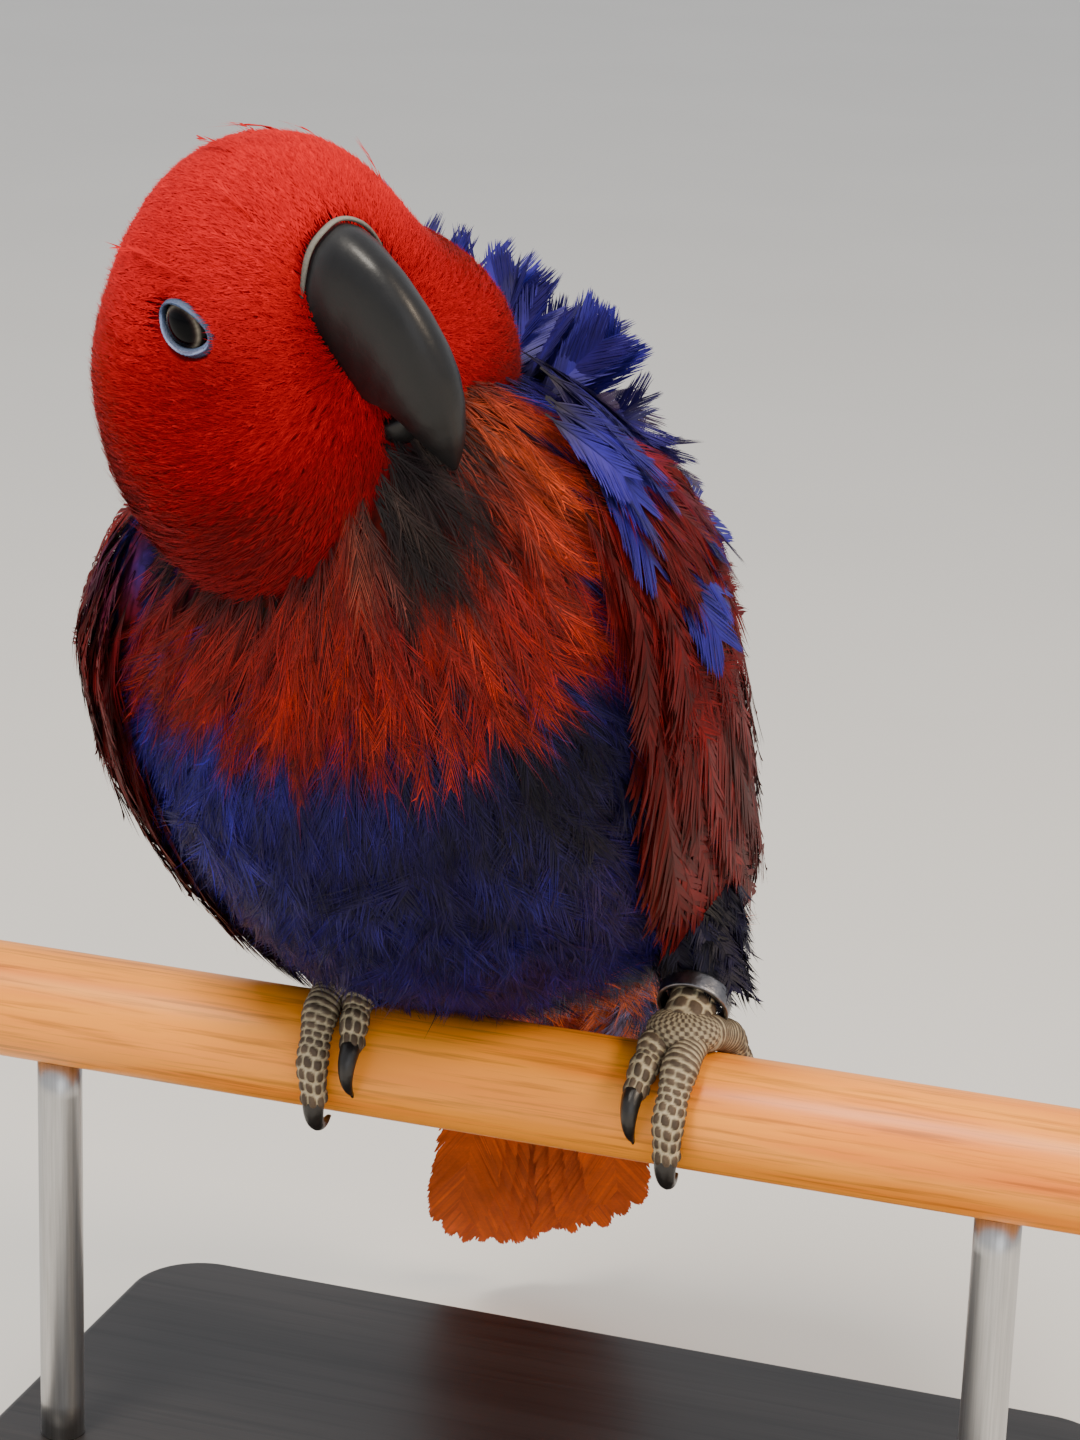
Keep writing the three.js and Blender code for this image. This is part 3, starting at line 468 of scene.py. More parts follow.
def outward(points, faces):
    """Faces turned so that they enclose a positive volume, the sum of p0 . (p1 x p2) over each
    face's fan of triangles."""
    p = points[faces]
    fans = range(1, faces.shape[1] - 1)
    volume = sum(np.einsum("ij,ij->", p[:, 0], np.cross(p[:, k], p[:, k + 1])) for k in fans)
    return faces if volume > 0 else faces[:, ::-1]


def closed_ring(loops):
    """Loops of points as one closed body: quads from each loop to the next and from the last to
    the first."""
    n = np.arange(loops.shape[0] * loops.shape[1]).reshape(loops.shape[:2])
    below = np.roll(n, -1, 0)
    faces = np.stack([n, np.roll(n, -1, 1), np.roll(below, -1, 1), below], -1).reshape(-1, 4)
    points = loops.reshape(-1, 3)
    return points, outward(points, faces)


def closed_tube(rings):
    """Rings of points as one closed body of triangles: two for each quad between rings, and at each
    end a fan round the ring's middle."""
    rings = np.asarray(rings, float)
    rows, columns = rings.shape[:2]
    points = np.concatenate([rings.reshape(-1, 3), [rings[0].mean(0)], [rings[-1].mean(0)]])
    quads = grid_faces(rows, columns)
    i = np.arange(columns)
    j = (i + 1) % columns
    a, b = rows * columns, rows * columns + 1
    end = (rows - 1) * columns
    triangles = np.concatenate([
        quads[:, [0, 1, 2]],
        quads[:, [0, 2, 3]],
        np.stack([np.full(columns, a), j, i], -1),
        np.stack([np.full(columns, b), end + i, end + j], -1),
    ])
    return points, outward(points, triangles)


# Materials


def new_material(name):
    """A material with its shader and output, a helper that adds nodes and one that links them."""
    material = bpy.data.materials.new(name)
    material.use_nodes = True
    tree = material.node_tree
    tree.nodes.clear()
    shader = tree.nodes.new("ShaderNodeBsdfPrincipled")
    output = tree.nodes.new("ShaderNodeOutputMaterial")
    tree.links.new(shader.outputs[0], output.inputs["Surface"])

    def node(kind, links=(), **values):
        made = tree.nodes.new("ShaderNode" + kind)
        for key, value in values.items():
            if hasattr(made, key):
                setattr(made, key, value)
            else:
                made.inputs[key.replace("_", " ")].default_value = value
        for target, source in dict(links).items():
            tree.links.new(source, made.inputs[target])
        return made

    return material, shader, node, tree.links.new


def noise(node, source, scale, detail=4.0, roughness=0.5, stretch=(1, 1, 1)):
    """Noise over a place, stretched along the axes."""
    mapping = node("Mapping", {"Vector": source})
    mapping.inputs["Scale"].default_value = stretch
    place = {"Vector": mapping.outputs[0]}
    return node("TexNoise", place, Scale=scale, Detail=detail, Roughness=roughness).outputs["Fac"]


def ramp(node, source, *stops):
    """Colours along a value from 0 to 1: each stop is a place and a linear colour or a grey."""
    made = node("ValToRGB", {"Fac": source})
    elements = made.color_ramp.elements
    while len(elements) < len(stops):
        elements.new(0.5)
    for element, (place, colour) in zip(elements, stops):
        element.position = place
        element.color = (*((colour,) * 3 if np.isscalar(colour) else tuple(colour)), 1)
    return made.outputs["Color"]


def multiplied(node, a, b):
    """Colour a times colour b. Of the node's sockets, 0 is the share and 6 and 7 are the colours."""
    made = node("Mix", data_type="RGBA", blend_type="MULTIPLY")
    made.inputs[0].default_value = 1.0
    made.id_data.links.new(a, made.inputs[6])
    made.id_data.links.new(b, made.inputs[7])
    return made.outputs[2]


def plumage_material(name, roughness=0.62, sheen=(0.0, (1, 1, 1)), specular=0.2, patch=0.3):
    """Feather: its tint is the piece's own attribute, with soft patches of light and dark from noise
    about 6 mm across and fine ones under 1 mm."""
    material, shader, node, link = new_material(name)
    tint = node("Attribute", attribute_name="Tint").outputs["Color"]
    place = node("TexCoord").outputs["Object"]
    broad = ramp(node, noise(node, place, 160, 3), (0.25, 1 - patch), (0.75, 1.0))
    fine = ramp(node, noise(node, place, 1500, 2), (0.2, 0.82), (0.8, 1.0))
    link(multiplied(node, multiplied(node, tint, broad), fine), shader.inputs["Base Color"])
    shader.inputs["Roughness"].default_value = roughness
    shader.inputs["Specular IOR Level"].default_value = specular
    shader.inputs["Sheen Weight"].default_value = sheen[0]
    shader.inputs["Sheen Tint"].default_value = (*sheen[1], 1)
    shader.inputs["Sheen Roughness"].default_value = 0.4
    return material


def tinted_material(name, roughness, bump_scale, bump, specular=0.5, coat=0.0, metallic=0.0):
    """A hard or bare surface: its tint is the piece's own attribute, mottled by noise, with the
    roughness and a fine bump varied by the same noise."""
    material, shader, node, link = new_material(name)
    tint = node("Attribute", attribute_name="Tint").outputs["Color"]
    place = node("TexCoord").outputs["Object"]
    grain = noise(node, place, bump_scale, 5, 0.6)
    link(multiplied(node, tint, ramp(node, grain, (0.3, 0.7), (0.7, 1.0))), shader.inputs["Base Color"])
    rough = node("MapRange", {"Value": grain})
    rough.inputs["To Min"].default_value = roughness * 0.8
    rough.inputs["To Max"].default_value = min(roughness * 1.25, 1)
    link(rough.outputs[0], shader.inputs["Roughness"])
    relief = node("Bump", {"Height": grain}, Strength=bump, Distance=0.0004)
    link(relief.outputs[0], shader.inputs["Normal"])
    shader.inputs["Specular IOR Level"].default_value = specular
    shader.inputs["Coat Weight"].default_value = coat
    shader.inputs["Coat Roughness"].default_value = 0.12
    shader.inputs["Metallic"].default_value = metallic
    return material


def wood_material(name, pale, dark, roughness, grain_scale):
    """Wood whose grain runs along X: stretched noise for the figure, finer stretched noise for
    the pores, both in its colour and its bump."""
    material, shader, node, link = new_material(name)
    place = node("TexCoord").outputs["Object"]
    figure = noise(node, place, grain_scale, 4, 0.55, (0.07, 1, 1))
    pores = noise(node, place, grain_scale * 9, 3, 0.6, (0.035, 1, 1))
    colour = ramp(node, figure, (0.3, dark), (0.5, pale), (0.72, dark * 0.5 + pale * 0.5))
    link(multiplied(node, colour, ramp(node, pores, (0.32, 0.62), (0.5, 1.0))), shader.inputs["Base Color"])
    relief = node("Bump", {"Height": pores}, Strength=0.15, Distance=0.0003)
    link(relief.outputs[0], shader.inputs["Normal"])
    shader.inputs["Roughness"].default_value = roughness
    shader.inputs["Coat Weight"].default_value = 0.12
    shader.inputs["Specular IOR Level"].default_value = 0.35
    shader.inputs["Coat Roughness"].default_value = 0.28
    return material


# Settings


def colour_property(name, description, default):
    """A display colour that the user can change."""
    return FloatVectorProperty(
        name=name, description=description, default=default, subtype="COLOR", min=0, max=1,
    )


def length_property(name, description, default):
    """A length in metres that the user can change."""
    return FloatProperty(name=name, description=description, default=default, unit="LENGTH")


class PlumageSettings(bpy.types.PropertyGroup):
    """Colours and coverage of the feathers."""

    head_red: colour_property("Head", "Feathers of the head", (0.79, 0.032, 0.078))
    # shaded_cheek_red is painted shade: the head's red darkened for the lower head and throat.
    shaded_cheek_red: colour_property("Cheek", "Feathers of the cheeks and throat", (0.62, 0.012, 0.062))
    bib_red: colour_property("Bib", "Feathers of the breast and shoulders", (0.48, 0.028, 0.022))
    # lit_red is painted sunlight: an orange that stands in for sun on the bib's red feathers.
    lit_red: colour_property("Warm bib", "Orange-red feathers among the bib's", (0.74, 0.19, 0.07))
    blue: colour_property("Blue", "Feathers of the belly and mantle", (0.115, 0.06, 0.32))
    flank_blue: colour_property("Bright blue", "Feathers of the flanks and mantle", (0.16, 0.10, 0.58))
    wing_red: colour_property("Wing", "Coverts of the wing and back", (0.38, 0.014, 0.014))
    flight_dark: colour_property("Flight feathers", "Flight feathers' outer vanes", (0.07, 0.05, 0.085))
    tail_red: colour_property("Tail", "Tail feathers at their tips", (0.95, 0.40, 0.08))
    down_grey: colour_property("Down", "Roots of the feathers", (0.15, 0.13, 0.135))
    coat: length_property("Coat", "Depth of the plumage over the skin", 0.0026)
    spacing: FloatProperty(
        name="Spacing", description="Scale of the spacing between feathers", default=1.0, min=0.6,
    )
    seed: IntProperty(name="Seed", description="Seed of the random draws", default=11)


class BillSettings(bpy.types.PropertyGroup):
    """Colours of the bill, cere and eyes."""

    horn: colour_property("Horn", "Bill", (0.052, 0.053, 0.06))
    cere: colour_property("Cere", "Bare band over the bill's root", (0.52, 0.51, 0.48))
    lid: colour_property("Lid", "Bare ring round the eye", (0.42, 0.50, 0.66))
    iris: colour_property("Iris", "Ring round the pupil", (0.50, 0.47, 0.42))


class FootSettings(bpy.types.PropertyGroup):
    """Colours of the feet and ring."""

    scale: colour_property("Scale", "Scutes of the toes", (0.33, 0.27, 0.21))
    rim: colour_property("Rim", "Pale rims of the scutes", (0.76, 0.70, 0.57))
    claw: colour_property("Claw", "Claws", (0.10, 0.085, 0.075))
    ring: colour_property("Ring", "Leg ring", (0.50, 0.50, 0.52))


class StandSettings(bpy.types.PropertyGroup):
    """Finishes of the dowel and stand, and the room's floor."""

    dowel_pale: colour_property("Dowel", "Varnished wood", (1.0, 0.62, 0.17))
    dowel_dark: colour_property("Dowel figure", "Darker figure of the wood", (0.92, 0.48, 0.10))
    base: colour_property("Base", "Stained wood of the base", (0.16, 0.15, 0.15))
    floor: colour_property("Floor", "Floor round the stand", (0.86, 0.85, 0.83))
    bevel: length_property("Bevel", "Rounding of the base's edges", 0.0015)


class ParrotSettings(bpy.types.PropertyGroup):
    """All settings of the parrot."""

    plumage: PointerProperty(type=PlumageSettings)
    bill: PointerProperty(type=BillSettings)
    foot: PointerProperty(type=FootSettings)
    stand: PointerProperty(type=StandSettings)


def settings():
    """The scene's own settings of the parrot."""
    return bpy.context.scene.parrot


def tone(group, name):
    """A setting's display colour as linear light."""
    return linear(getattr(getattr(settings(), group), name))


def plume(name, other=None, share=0.0):
    """One of the plumage's colours, or two of them mixed by a share for each feather."""
    colour = tone("plumage", name)
    return colour if other is None else mixed(colour, tone("plumage", other), share)


# Plumage


def body_down(u, v, out=0.0):
    """The body's surface with u running from the neck down to the tail: s is NECK_TOP less u."""
    return body(NECK_TOP - np.asarray(u, float), v, out)


def body_place(s, angle):
    """A root's spot on the unrolled body: the share of the turn and of its length."""
    return np.stack([np.mod(angle, 360) / 360, s / 11.5], -1)


def bib_edge(angle):
    """Where the red bib ends on the body, by the angle round it."""
    return np.interp(
        np.mod(angle, 360),
        [70, 90, 103, 114, 123, 135, 168, 187, 204, 217, 235, 250, 270, 290],
        [10, 9.1, 8.32, 7.95, 7.6, 7.45, 7.38, 7.46, 7.5, 7.6, 7.7, 8.0, 8.9, 10],
    )


def cleft(s, angle):
    """How far a spot lies in the parting under the chin, whose tint is grey down darkened by painted shade:
    a bell curve across a slanting line.
    """
    line = np.interp(s, [8.3, 8.6, 9.3, 9.8], [164, 156, 133, 122])
    across = np.interp(s, [8.2, 8.45, 9.0, 9.6], [4, 10, 18, 17])
    bell = np.exp(-(((angle - line) / across) ** 2))
    return np.clip(1.5 * bell, 0, 1) * ease(s, 8.15, 8.5) * (1 - ease(s, 10.2, 10.8))


def soft_patch(x, y, middle, reach):
    """How far spots lie in a patch: a bell curve of x times one of y, about its middle."""
    return np.exp(-(((x - middle[0]) / reach[0]) ** 2) - ((y - middle[1]) / reach[1]) ** 2)


def body_tint(s, angle, rng):
    """Colours of body feathers whose tips lie at (s, angle): the red bib with painted sunlight in orange
    strewn feather by feather over its left side and a painted sun patch at the shoulder, the blue tuft, and
    the parting under the chin tinted as grey down in painted shade; the blue belly with its light and dark
    patches and its red and lilac vent; and behind the wings the blue mantle between the red of the nape and
    of the back."""
    a = np.mod(angle, 360)
    count = len(s)
    edge = bib_edge(a) + 0.07 * rng.normal(0, 1, count)
    red = s > edge
    # Painted sunlight: sunny leans the bib towards the orange of lit_red on its left side, at random
    # feather by feather.
    sunny = 0.5 + 0.5 * (1 - ease(a, 125, 190))
    bib = plume("bib_red", "lit_red", sunny * rng.beta(1.1, 2.4, count))
    # Painted sunlight: this orange patch at the shoulder stands in for a pool of sun there, not for orange
    # feathers.
    shoulder = soft_patch(s, a, (9.0, 116), (0.5, 14))
    bib = mixed(bib, linear([0.86, 0.34, 0.14]), 0.7 * shoulder)
    bib = mixed(bib, plume("head_red"), ease(s, 9.5, 10.2))
    bright = 0.9 * soft_patch(s, a, (7.2, 222), (0.7, 24)) + rng.beta(1, 4, count)
    blue = plume("blue", "flank_blue", np.clip(bright, 0, 1))
    dark = 0.75 * soft_patch(s, a, (6.9, 145), (0.6, 22)) + 0.6 * rng.beta(1, 1.8, count)
    blue = mixed(blue, linear([0.05, 0.04, 0.10]), np.clip(dark, 0, 1))
    vent = (1 - ease(s, 3.7, 4.4)) * (rng.uniform(0, 1, count) < 0.72)
    lilac = rng.uniform(0, 1, count) < 0.35
    blue = mixed(blue, mixed(plume("tail_red"), linear([0.5, 0.46, 0.62]), lilac), vent)
    tuft = soft_patch(s, a, (8.75, 250), (0.3, 11))
    bib = mixed(bib, linear([0.24, 0.16, 0.50]), np.clip(1.4 * tuft, 0, 0.95))
    colour = np.where(red[:, None], bib, blue)
    # Painted shade: the parting under the chin tinted near-black grey, partly the grey down that shows
    # there and partly the shade in it.
    colour = mixed(colour, linear([0.08, 0.075, 0.09]), 0.97 * cleft(s, a))
    fringe = soft_patch(s, a, (8.85, 203), (0.28, 34)) * (rng.uniform(0, 1, count) < 0.45)
    colour = mixed(colour, linear([0.36, 0.29, 0.22]), fringe)
    back = (a < 92) | (a > 268)
    mantle = (s > 7.0 + 0.25 * rng.normal(0, 1, count)) & (s < 9.7)
    rump = plume("wing_red", "bib_red", rng.beta(1, 3, count))
    blues = plume("blue", "flank_blue", rng.beta(2, 2.5, count))
    nape = plume("head_red", "bib_red", rng.beta(1, 2, count))
    over = np.where((s >= 9.7)[:, None], nape, np.where(mantle[:, None], blues, rump))
    return varied(np.where(back[:, None], over, colour), rng, 0.2)


def body_feathers(u_range, v_range, spacing, length, width, rise, rng, mess=0.16, keep=None, **shape):
    """Feathers of one region of the body. Their lean spreads out from the belly's middle line, and
    each length is drawn from a range. Roots inside the head are left out, and so are those that keep
    names false. Feathers lie flat in the parting under the chin. The tint is read at the tips, with
    17 mm for a step of s and 45 mm for the body's mean radius."""
    scale = settings().plumage.spacing
    u, v = scattered(body_down, u_range, v_range, spacing * scale, rng)
    out = depth_in_head(body_down(u, v, 0.0)) < 2.5
    if keep is not None:
        out &= keep(NECK_TOP - u, v)
    u, v = u[out], v[out]
    count = len(u)
    size = rng.uniform(*length, count)
    turn = 0.3 * np.sin(np.radians(v - 165)) * np.where(np.cos(np.radians(v)) < 0, 1, 0)
    lean = turn + mess * rng.normal(0, 1, count)
    low, high, power = rise
    hollow = cleft(NECK_TOP - u - 0.4, np.mod(v, 360))
    tips = high * rng.uniform(0.55, 1.3, count) * (1 - 0.85 * hollow) - 1.2 * hollow
    paths = grown(body_down, u, v, lean, size, (np.full(count, low), tips, power))
    tint = body_tint(NECK_TOP - u - 0.8 * size / 17, v + 0.8 * np.degrees(lean * size / 45), rng)
    return feathers(
        paths, rng.uniform(*width, count), rng, tint, 0.6 * plume("down_grey"),
        body_place(NECK_TOP - u, v), roll=rng.normal(0, 0.12, count), **shape,
    )


def clear_of_wings(s, angle):
    """True for roots low on the body that the folded wings' lower halves don't cover."""
    return (s > 5.1) | (np.abs(angle - 180) < 50)


def add_plumage(name, parts, material, replaces=()):
    """One finished piece of plumage from the feather meshes of its parts."""
    points, faces, uv, tint = joined(parts)
    make_piece(name, to_floor(points), faces, material, uv, tint, replaces)


def wing_rows(place):
    """The wing's core at a place along it: s, the angles of its two edges and its thickness."""
    rows = [
        [8.95, 74, 98, 1.2], [8.5, 54, 114, 3], [7.7, 42, 123, 3.6],
        [6.9, 34, 126, 3.2], [6.1, 28, 125, 2.6], [5.2, 22, 120, 2],
    ]
    return np.moveaxis(along(rows, place), -1, 0)


def wing_core(side):
    """The outer surface of a folded wing's core: u runs back along it and v from its upper edge down."""

    def surface(u, v, out=0.0):
        u, v, out = np.broadcast_arrays(np.asarray(u, float), v, out)
        s, upper, lower, thick = wing_rows(u)
        rim = np.sin(np.pi * np.clip(v, 0.04, 0.96)) ** 0.5
        return body(s, side * (upper + (lower - upper) * v), 0.8 + thick * rim + out)

    return surface


# Tiers of the folded wing from the innermost out: their kind and number of feathers, roots and
# tips as (s, angle) at the lower and the upper edge, how far the lowest bows, width, lift and barbs.
WING_TIERS = [
    ("primary", 9, ((6.2, 120), (5.8, 70)), ((1.0, 36), (2.9, 16)), 26, 12, 2.4, 46),
    ("secondary", 11, ((6.8, 122), (6.3, 38)), ((3.4, 115), (2.6, 13)), 4, 13, 3.8, 42),
    ("greater", 13, ((7.2, 122), (6.8, 40)), ((4.0, 123), (3.6, 19)), 3, 11, 4.8, 38),
    ("greater", 13, ((7.6, 122), (7.2, 42)), ((4.6, 127), (4.4, 23)), 2, 11, 5.5, 34),
    ("median", 14, ((8.0, 118), (7.6, 46)), ((5.3, 127), (5.1, 27)), 2, 10, 6.2, 30),
    ("median", 14, ((8.3, 114), (8.0, 50)), ((6.1, 126), (5.9, 31)), 2, 10, 6.8, 28),
    ("median", 14, ((8.6, 108), (8.3, 56)), ((6.9, 124), (6.7, 38)), 2, 9, 7.2, 26),
]
# Each kind's roots take a fifth of the unwrap, in this order.
WING_KINDS = ["primary", "secondary", "greater", "median"]


def wing_tier(side, rng, kind, count, root, tip, bow, width, lift, barbs):
    """One tier: each feather's ends lie between the lower and the upper edge's, its path bows
    towards the belly by a half sine, and it rises to its lift in the first half."""
    f = np.linspace(0, 1, count) + rng.normal(0, 0.015, count)
    start = np.array(root[0]) + f[:, None] * (np.array(root[1]) - root[0])
    end = np.array(tip[0]) + f[:, None] * (np.array(tip[1]) - tip[0])
    flight = kind in ("primary", "secondary")
    end[:, 0] += (0.12 if flight else 0.34) * rng.normal(0, 1, count)
    end[:, 1] += (2 if flight else 4) * rng.uniform(-1, 1, count)
    t = np.linspace(0, 1, 8)
    s = start[:, :1] + (end[:, :1] - start[:, :1]) * t
    bowed = bow * (1 - np.clip(f, 0, 1))[:, None] * np.sin(np.pi * t)
    angle = start[:, 1:] + (end[:, 1:] - start[:, 1:]) * t + bowed
    out = 1.3 + (lift + 0.8 * f[:, None] - 1.3) * np.clip(2.2 * t, 0, 1) ** 0.8
    paths = framed(body, s, side * angle, np.broadcast_to(out, s.shape))
    dark, red = plume("flight_dark"), plume("wing_red")
    if kind == "primary":
        tint = mixed(dark, linear([0.16, 0.11, 0.27]), 0.5 * rng.uniform(0, 1, count))
    elif kind == "secondary":
        tint = mixed(red, dark, np.clip(0.55 - 0.5 * f + 0.1 * rng.normal(0, 1, count), 0, 1))
    else:
        tint = mixed(red, plume("bib_red"), 0.45 * rng.beta(1.2, 2.5, count))
        tint = mixed(tint, red * 0.22, 0.7 * rng.beta(1, 2.5, count))
    return feathers(
        paths, rng.uniform(0.9, 1.1, count) * width, rng, varied(tint, rng, 0.1), tint * 0.6,
        np.stack([np.clip(f, 0, 1) * 0.2 + 0.2 * WING_KINDS.index(kind) + 0.02, start[:, 0] / 9], -1),
        barbs=barbs, kind="long" if flight else "soft", slant=30 if flight else 23, clean=0.1,
        loose=0.35 if flight else 1.5, roll=side * rng.uniform(0.02, 0.14, count), camber=0.1,
        wide=1.6 if flight else 1.05, fuzz=0.15 if flight else 0.35, streak=0.12 if flight else 0.24,
        shaft=0.5 if flight else 0.35, shaft_tint=0.5, blunt=0.88 if flight else 0.72,
    )


def lesser_coverts(side, rng):
    """The small feathers over the wing's front, rows of shingles on the core: red, and blue along
    the upper edge and at the bend of the right wing."""
    surface = wing_core(side)
    u, v = scattered(surface, (0.0, 0.5), (0.03, 0.97), 3.9 * settings().plumage.spacing, rng)
    count = len(u)
    size = rng.uniform(11, 15, count)
    rise = (np.full(count, -0.4), rng.uniform(1.2, 3.4, count) + 1.5 * ease(u, 0.1, 0.5), 0.75)
    paths = grown(surface, u, v, 0.1 * rng.normal(0, 1, count), size, rise)
    blue = np.exp(-((v / 0.3) ** 2)) * (1 - ease(u, 0.25, 0.5))
    if side < 0:
        blue = blue + 0.35 * np.exp(-((u / 0.14) ** 2))
    red = plume("wing_red", "bib_red", 0.7 * rng.beta(1.5, 2, count))
    tint = mixed(red, plume("blue"), np.clip(blue, 0, 1) * (rng.uniform(0, 1, count) < 0.75))
    return feathers(
        paths, rng.uniform(7, 9.5, count), rng, varied(tint, rng, 0.12), plume("down_grey"),
        np.stack([v, 0.2 + 0.7 * u], -1), barbs=20, kind="soft", slant=27, clean=0.12, loose=1.3,
        roll=0.1 * rng.normal(0, 1, count), wide=1.05, fuzz=0.4, streak=0.22,
    )


# The tail's slope below level and its turn from the body's, in degrees, and its length.
TAIL_DROP, TAIL_TURN, TAIL_LENGTH = 52, 5, 106
# How far from the tail's root its feathers start, and how many there are.
TAIL_START, TAIL_COUNT = 22, 12


def tail_axes():
    """The tail's root, and its directions along, to the left and out of its upper side."""
    drop, turn = math.radians(TAIL_DROP), math.radians(TAIL_TURN)
    level = math.cos(drop)
    run = turn_z([-level * math.sin(turn), level * math.cos(turn), -math.sin(drop)], BODY_TURN)
    left = turn_z([math.cos(turn), math.sin(turn), 0], BODY_TURN)
    return turn_z([3.0, 44, 7], BODY_TURN), run, left, -np.cross(run, left)


def tail_core(u, v, out=0.0):
    """The tail's core: round an ellipse that narrows along its length; v is 0 on top and 180 below."""
    u, v, out = np.broadcast_arrays(np.asarray(u, float), v, out)
    at, run, left, up = tail_axes()
    a = np.radians(v)
    side = smoothly([20, 15, 10], u * 2) + out
    depth = smoothly([11, 7, 2], u * 2) + out
    middle = at + run * (46 * u)[..., None]
    return middle + left * (side * np.sin(a))[..., None] + up * (depth * np.cos(a))[..., None]


def tail_feathers(rng):
    """The twelve tail feathers in a narrow fan: each turned from the middle by its place and the
    square of it, the outer ones lower and shorter by the square of the way to the longest, and all
    bent down by the square of the way along."""
    at, run, left, up = tail_axes()
    number = np.arange(TAIL_COUNT)
    pair = number - (TAIL_COUNT - 1) / 2
    order = 2 * np.floor(np.abs(pair)) + (pair > 0)
    fan = np.radians(0.65 * pair + np.where(pair > 0, 0.1, -0.07) * pair**2)
    ways = run * np.cos(fan)[:, None] + left * np.sin(fan)[:, None]
    shorter = np.where(pair > -2, 0.42, 1.2) * (pair + 2) ** 2
    length = TAIL_LENGTH - shorter - 3 * rng.uniform(0, 1, TAIL_COUNT)
    t = np.linspace(0, 1, 9)
    reach = TAIL_START + (length[:, None] - TAIL_START) * t
    height = 3 - 0.62 * order[:, None] * np.minimum(1, 0.25 + t) - 3 * t**2
    roots = at + left * (1.2 * pair)[:, None, None]
    points = roots + ways[:, None] * reach[..., None] + up * height[..., None]
    paths = with_axes(points, np.broadcast_to(up, points.shape))
    share = 0.25 * rng.uniform(0, 1, TAIL_COUNT)
    tint = plume("tail_red", "bib_red", share)
    return feathers(
        paths, np.full(TAIL_COUNT, 13.5), rng, varied(tint, rng, 0.1), linear([0.3, 0.06, 0.05]),
        np.stack([0.1 + 0.06 * number, np.full(TAIL_COUNT, 0.2)], -1), barbs=110, kind="round", slant=20,
        clean=0.02, loose=0.35, camber=0.05, wide=2.8, fuzz=0.1, streak=0.1, shaft=0.5, shaft_tint=0.65,
        blunt=0.95,
    )


def tail_coverts(v_range, spacing, length, tint, rng, loose):
    """Feathers over or under the tail's root. Tint gives their colours from their places along it."""
    u, v = scattered(tail_core, (-0.25, 0.75), v_range, spacing, rng)
    count = len(u)
    rise = (np.full(count, -0.6), rng.uniform(0.8, 2.6, count), 0.8)
    paths = grown(tail_core, u, v, 0.1 * rng.normal(0, 1, count), rng.uniform(*length, count), rise)
    width = rng.uniform(9, 12, count)
    return feathers(
        paths, width, rng, varied(tint(u), rng, 0.1), plume("down_grey"),
        np.stack([np.mod(v, 360) / 360, 0.4 + 0.4 * u], -1), barbs=26, kind="soft", slant=34, clean=0.15,
        loose=loose, roll=0.15 * rng.normal(0, 1, count), wide=1.2, fuzz=0.5,
    )


def raised(rng, count, s, angle, length, width, lean, rise, base=-3, downy=0.0):
    """Raised feathers of the mantle: from each root in the back along a straight way between the
    surface's outward direction and the body's own axis, bent a little by the square of the way.
    Lengths are read along a list from the first angle to the last, and downy mixes in pale down."""
    f = np.linspace(0, 1, count)
    place = rng.uniform(*s, count)
    around = angle[0] + (angle[1] - angle[0]) * f + rng.normal(0, 2, count)
    root = body(place, around, base)
    normal = unit(body(place, around, 1) - body(place, around, 0))
    _, ahead, _, _ = body_axes(place)
    stand = lean * rng.uniform(0.65, 1.25, count)
    side = np.cross(normal, ahead)
    way = unit(normal * stand[:, None] + ahead * rise + side * (0.22 * rng.normal(0, 1, count))[:, None])
    reach = along(length, f) * rng.uniform(0.75, 1.15, count)
    t = np.linspace(0, 1, 7)
    bend = 5 * t - 0.16 * reach[:, None] * t**2
    straight = way[:, None] * (reach[:, None] * t)[..., None]
    points = root[:, None] + straight + normal[:, None] * bend[..., None]
    over = np.cross(np.cross(way, normal), way)
    paths = with_axes(points, np.broadcast_to(over[:, None], points.shape))
    tint = plume("blue", "flank_blue", rng.beta(2, 2, count))
    tint = mixed(tint, linear([0.40, 0.34, 0.29]), downy * rng.uniform(0, 1, count) ** 3)
    wide = rng.uniform(0.8, 1.15, count) * width
    return feathers(
        paths, wide, rng, varied(tint, rng, 0.14), plume("down_grey"),
        body_place(place, around), barbs=52, kind="round", slant=25, clean=0.08, loose=0.8,
        roll=0.25 * rng.normal(0, 1, count), wide=1.7, fuzz=0.2, blunt=0.86,
    )


def head_tint(points, rng):
    """Colours of the head's feathers: bright red, with painted shade that deepens it towards the cheeks and
    throat, darkens it between the eye and the bill and darkens it most under the chin."""
    local = in_head(points)
    # Painted shade: low leans the red towards the deeper red of the shaded cheeks further down the head.
    low = ease(-local[:, 1], 2, 30) + 0.15 * rng.normal(0, 1, len(local))
    colour = plume("head_red", "shaded_cheek_red", np.clip(low, 0, 1))
    # Painted shade between the eye and the bill.
    lore_shade = soft_patch(local[:, 0], local[:, 1], (12, -5), (7, 6))
    colour = colour * (1 - 0.3 * lore_shade)[:, None]
    # Painted shade under the chin, in dark red.
    chin_shade = soft_patch(local[:, 0], local[:, 1], (19, -26), (8, 10))
    colour = mixed(colour, linear([0.20, 0.03, 0.03]), 0.75 * chin_shade * rng.uniform(0.5, 1, len(low)))
    return varied(colour, rng, 0.045)


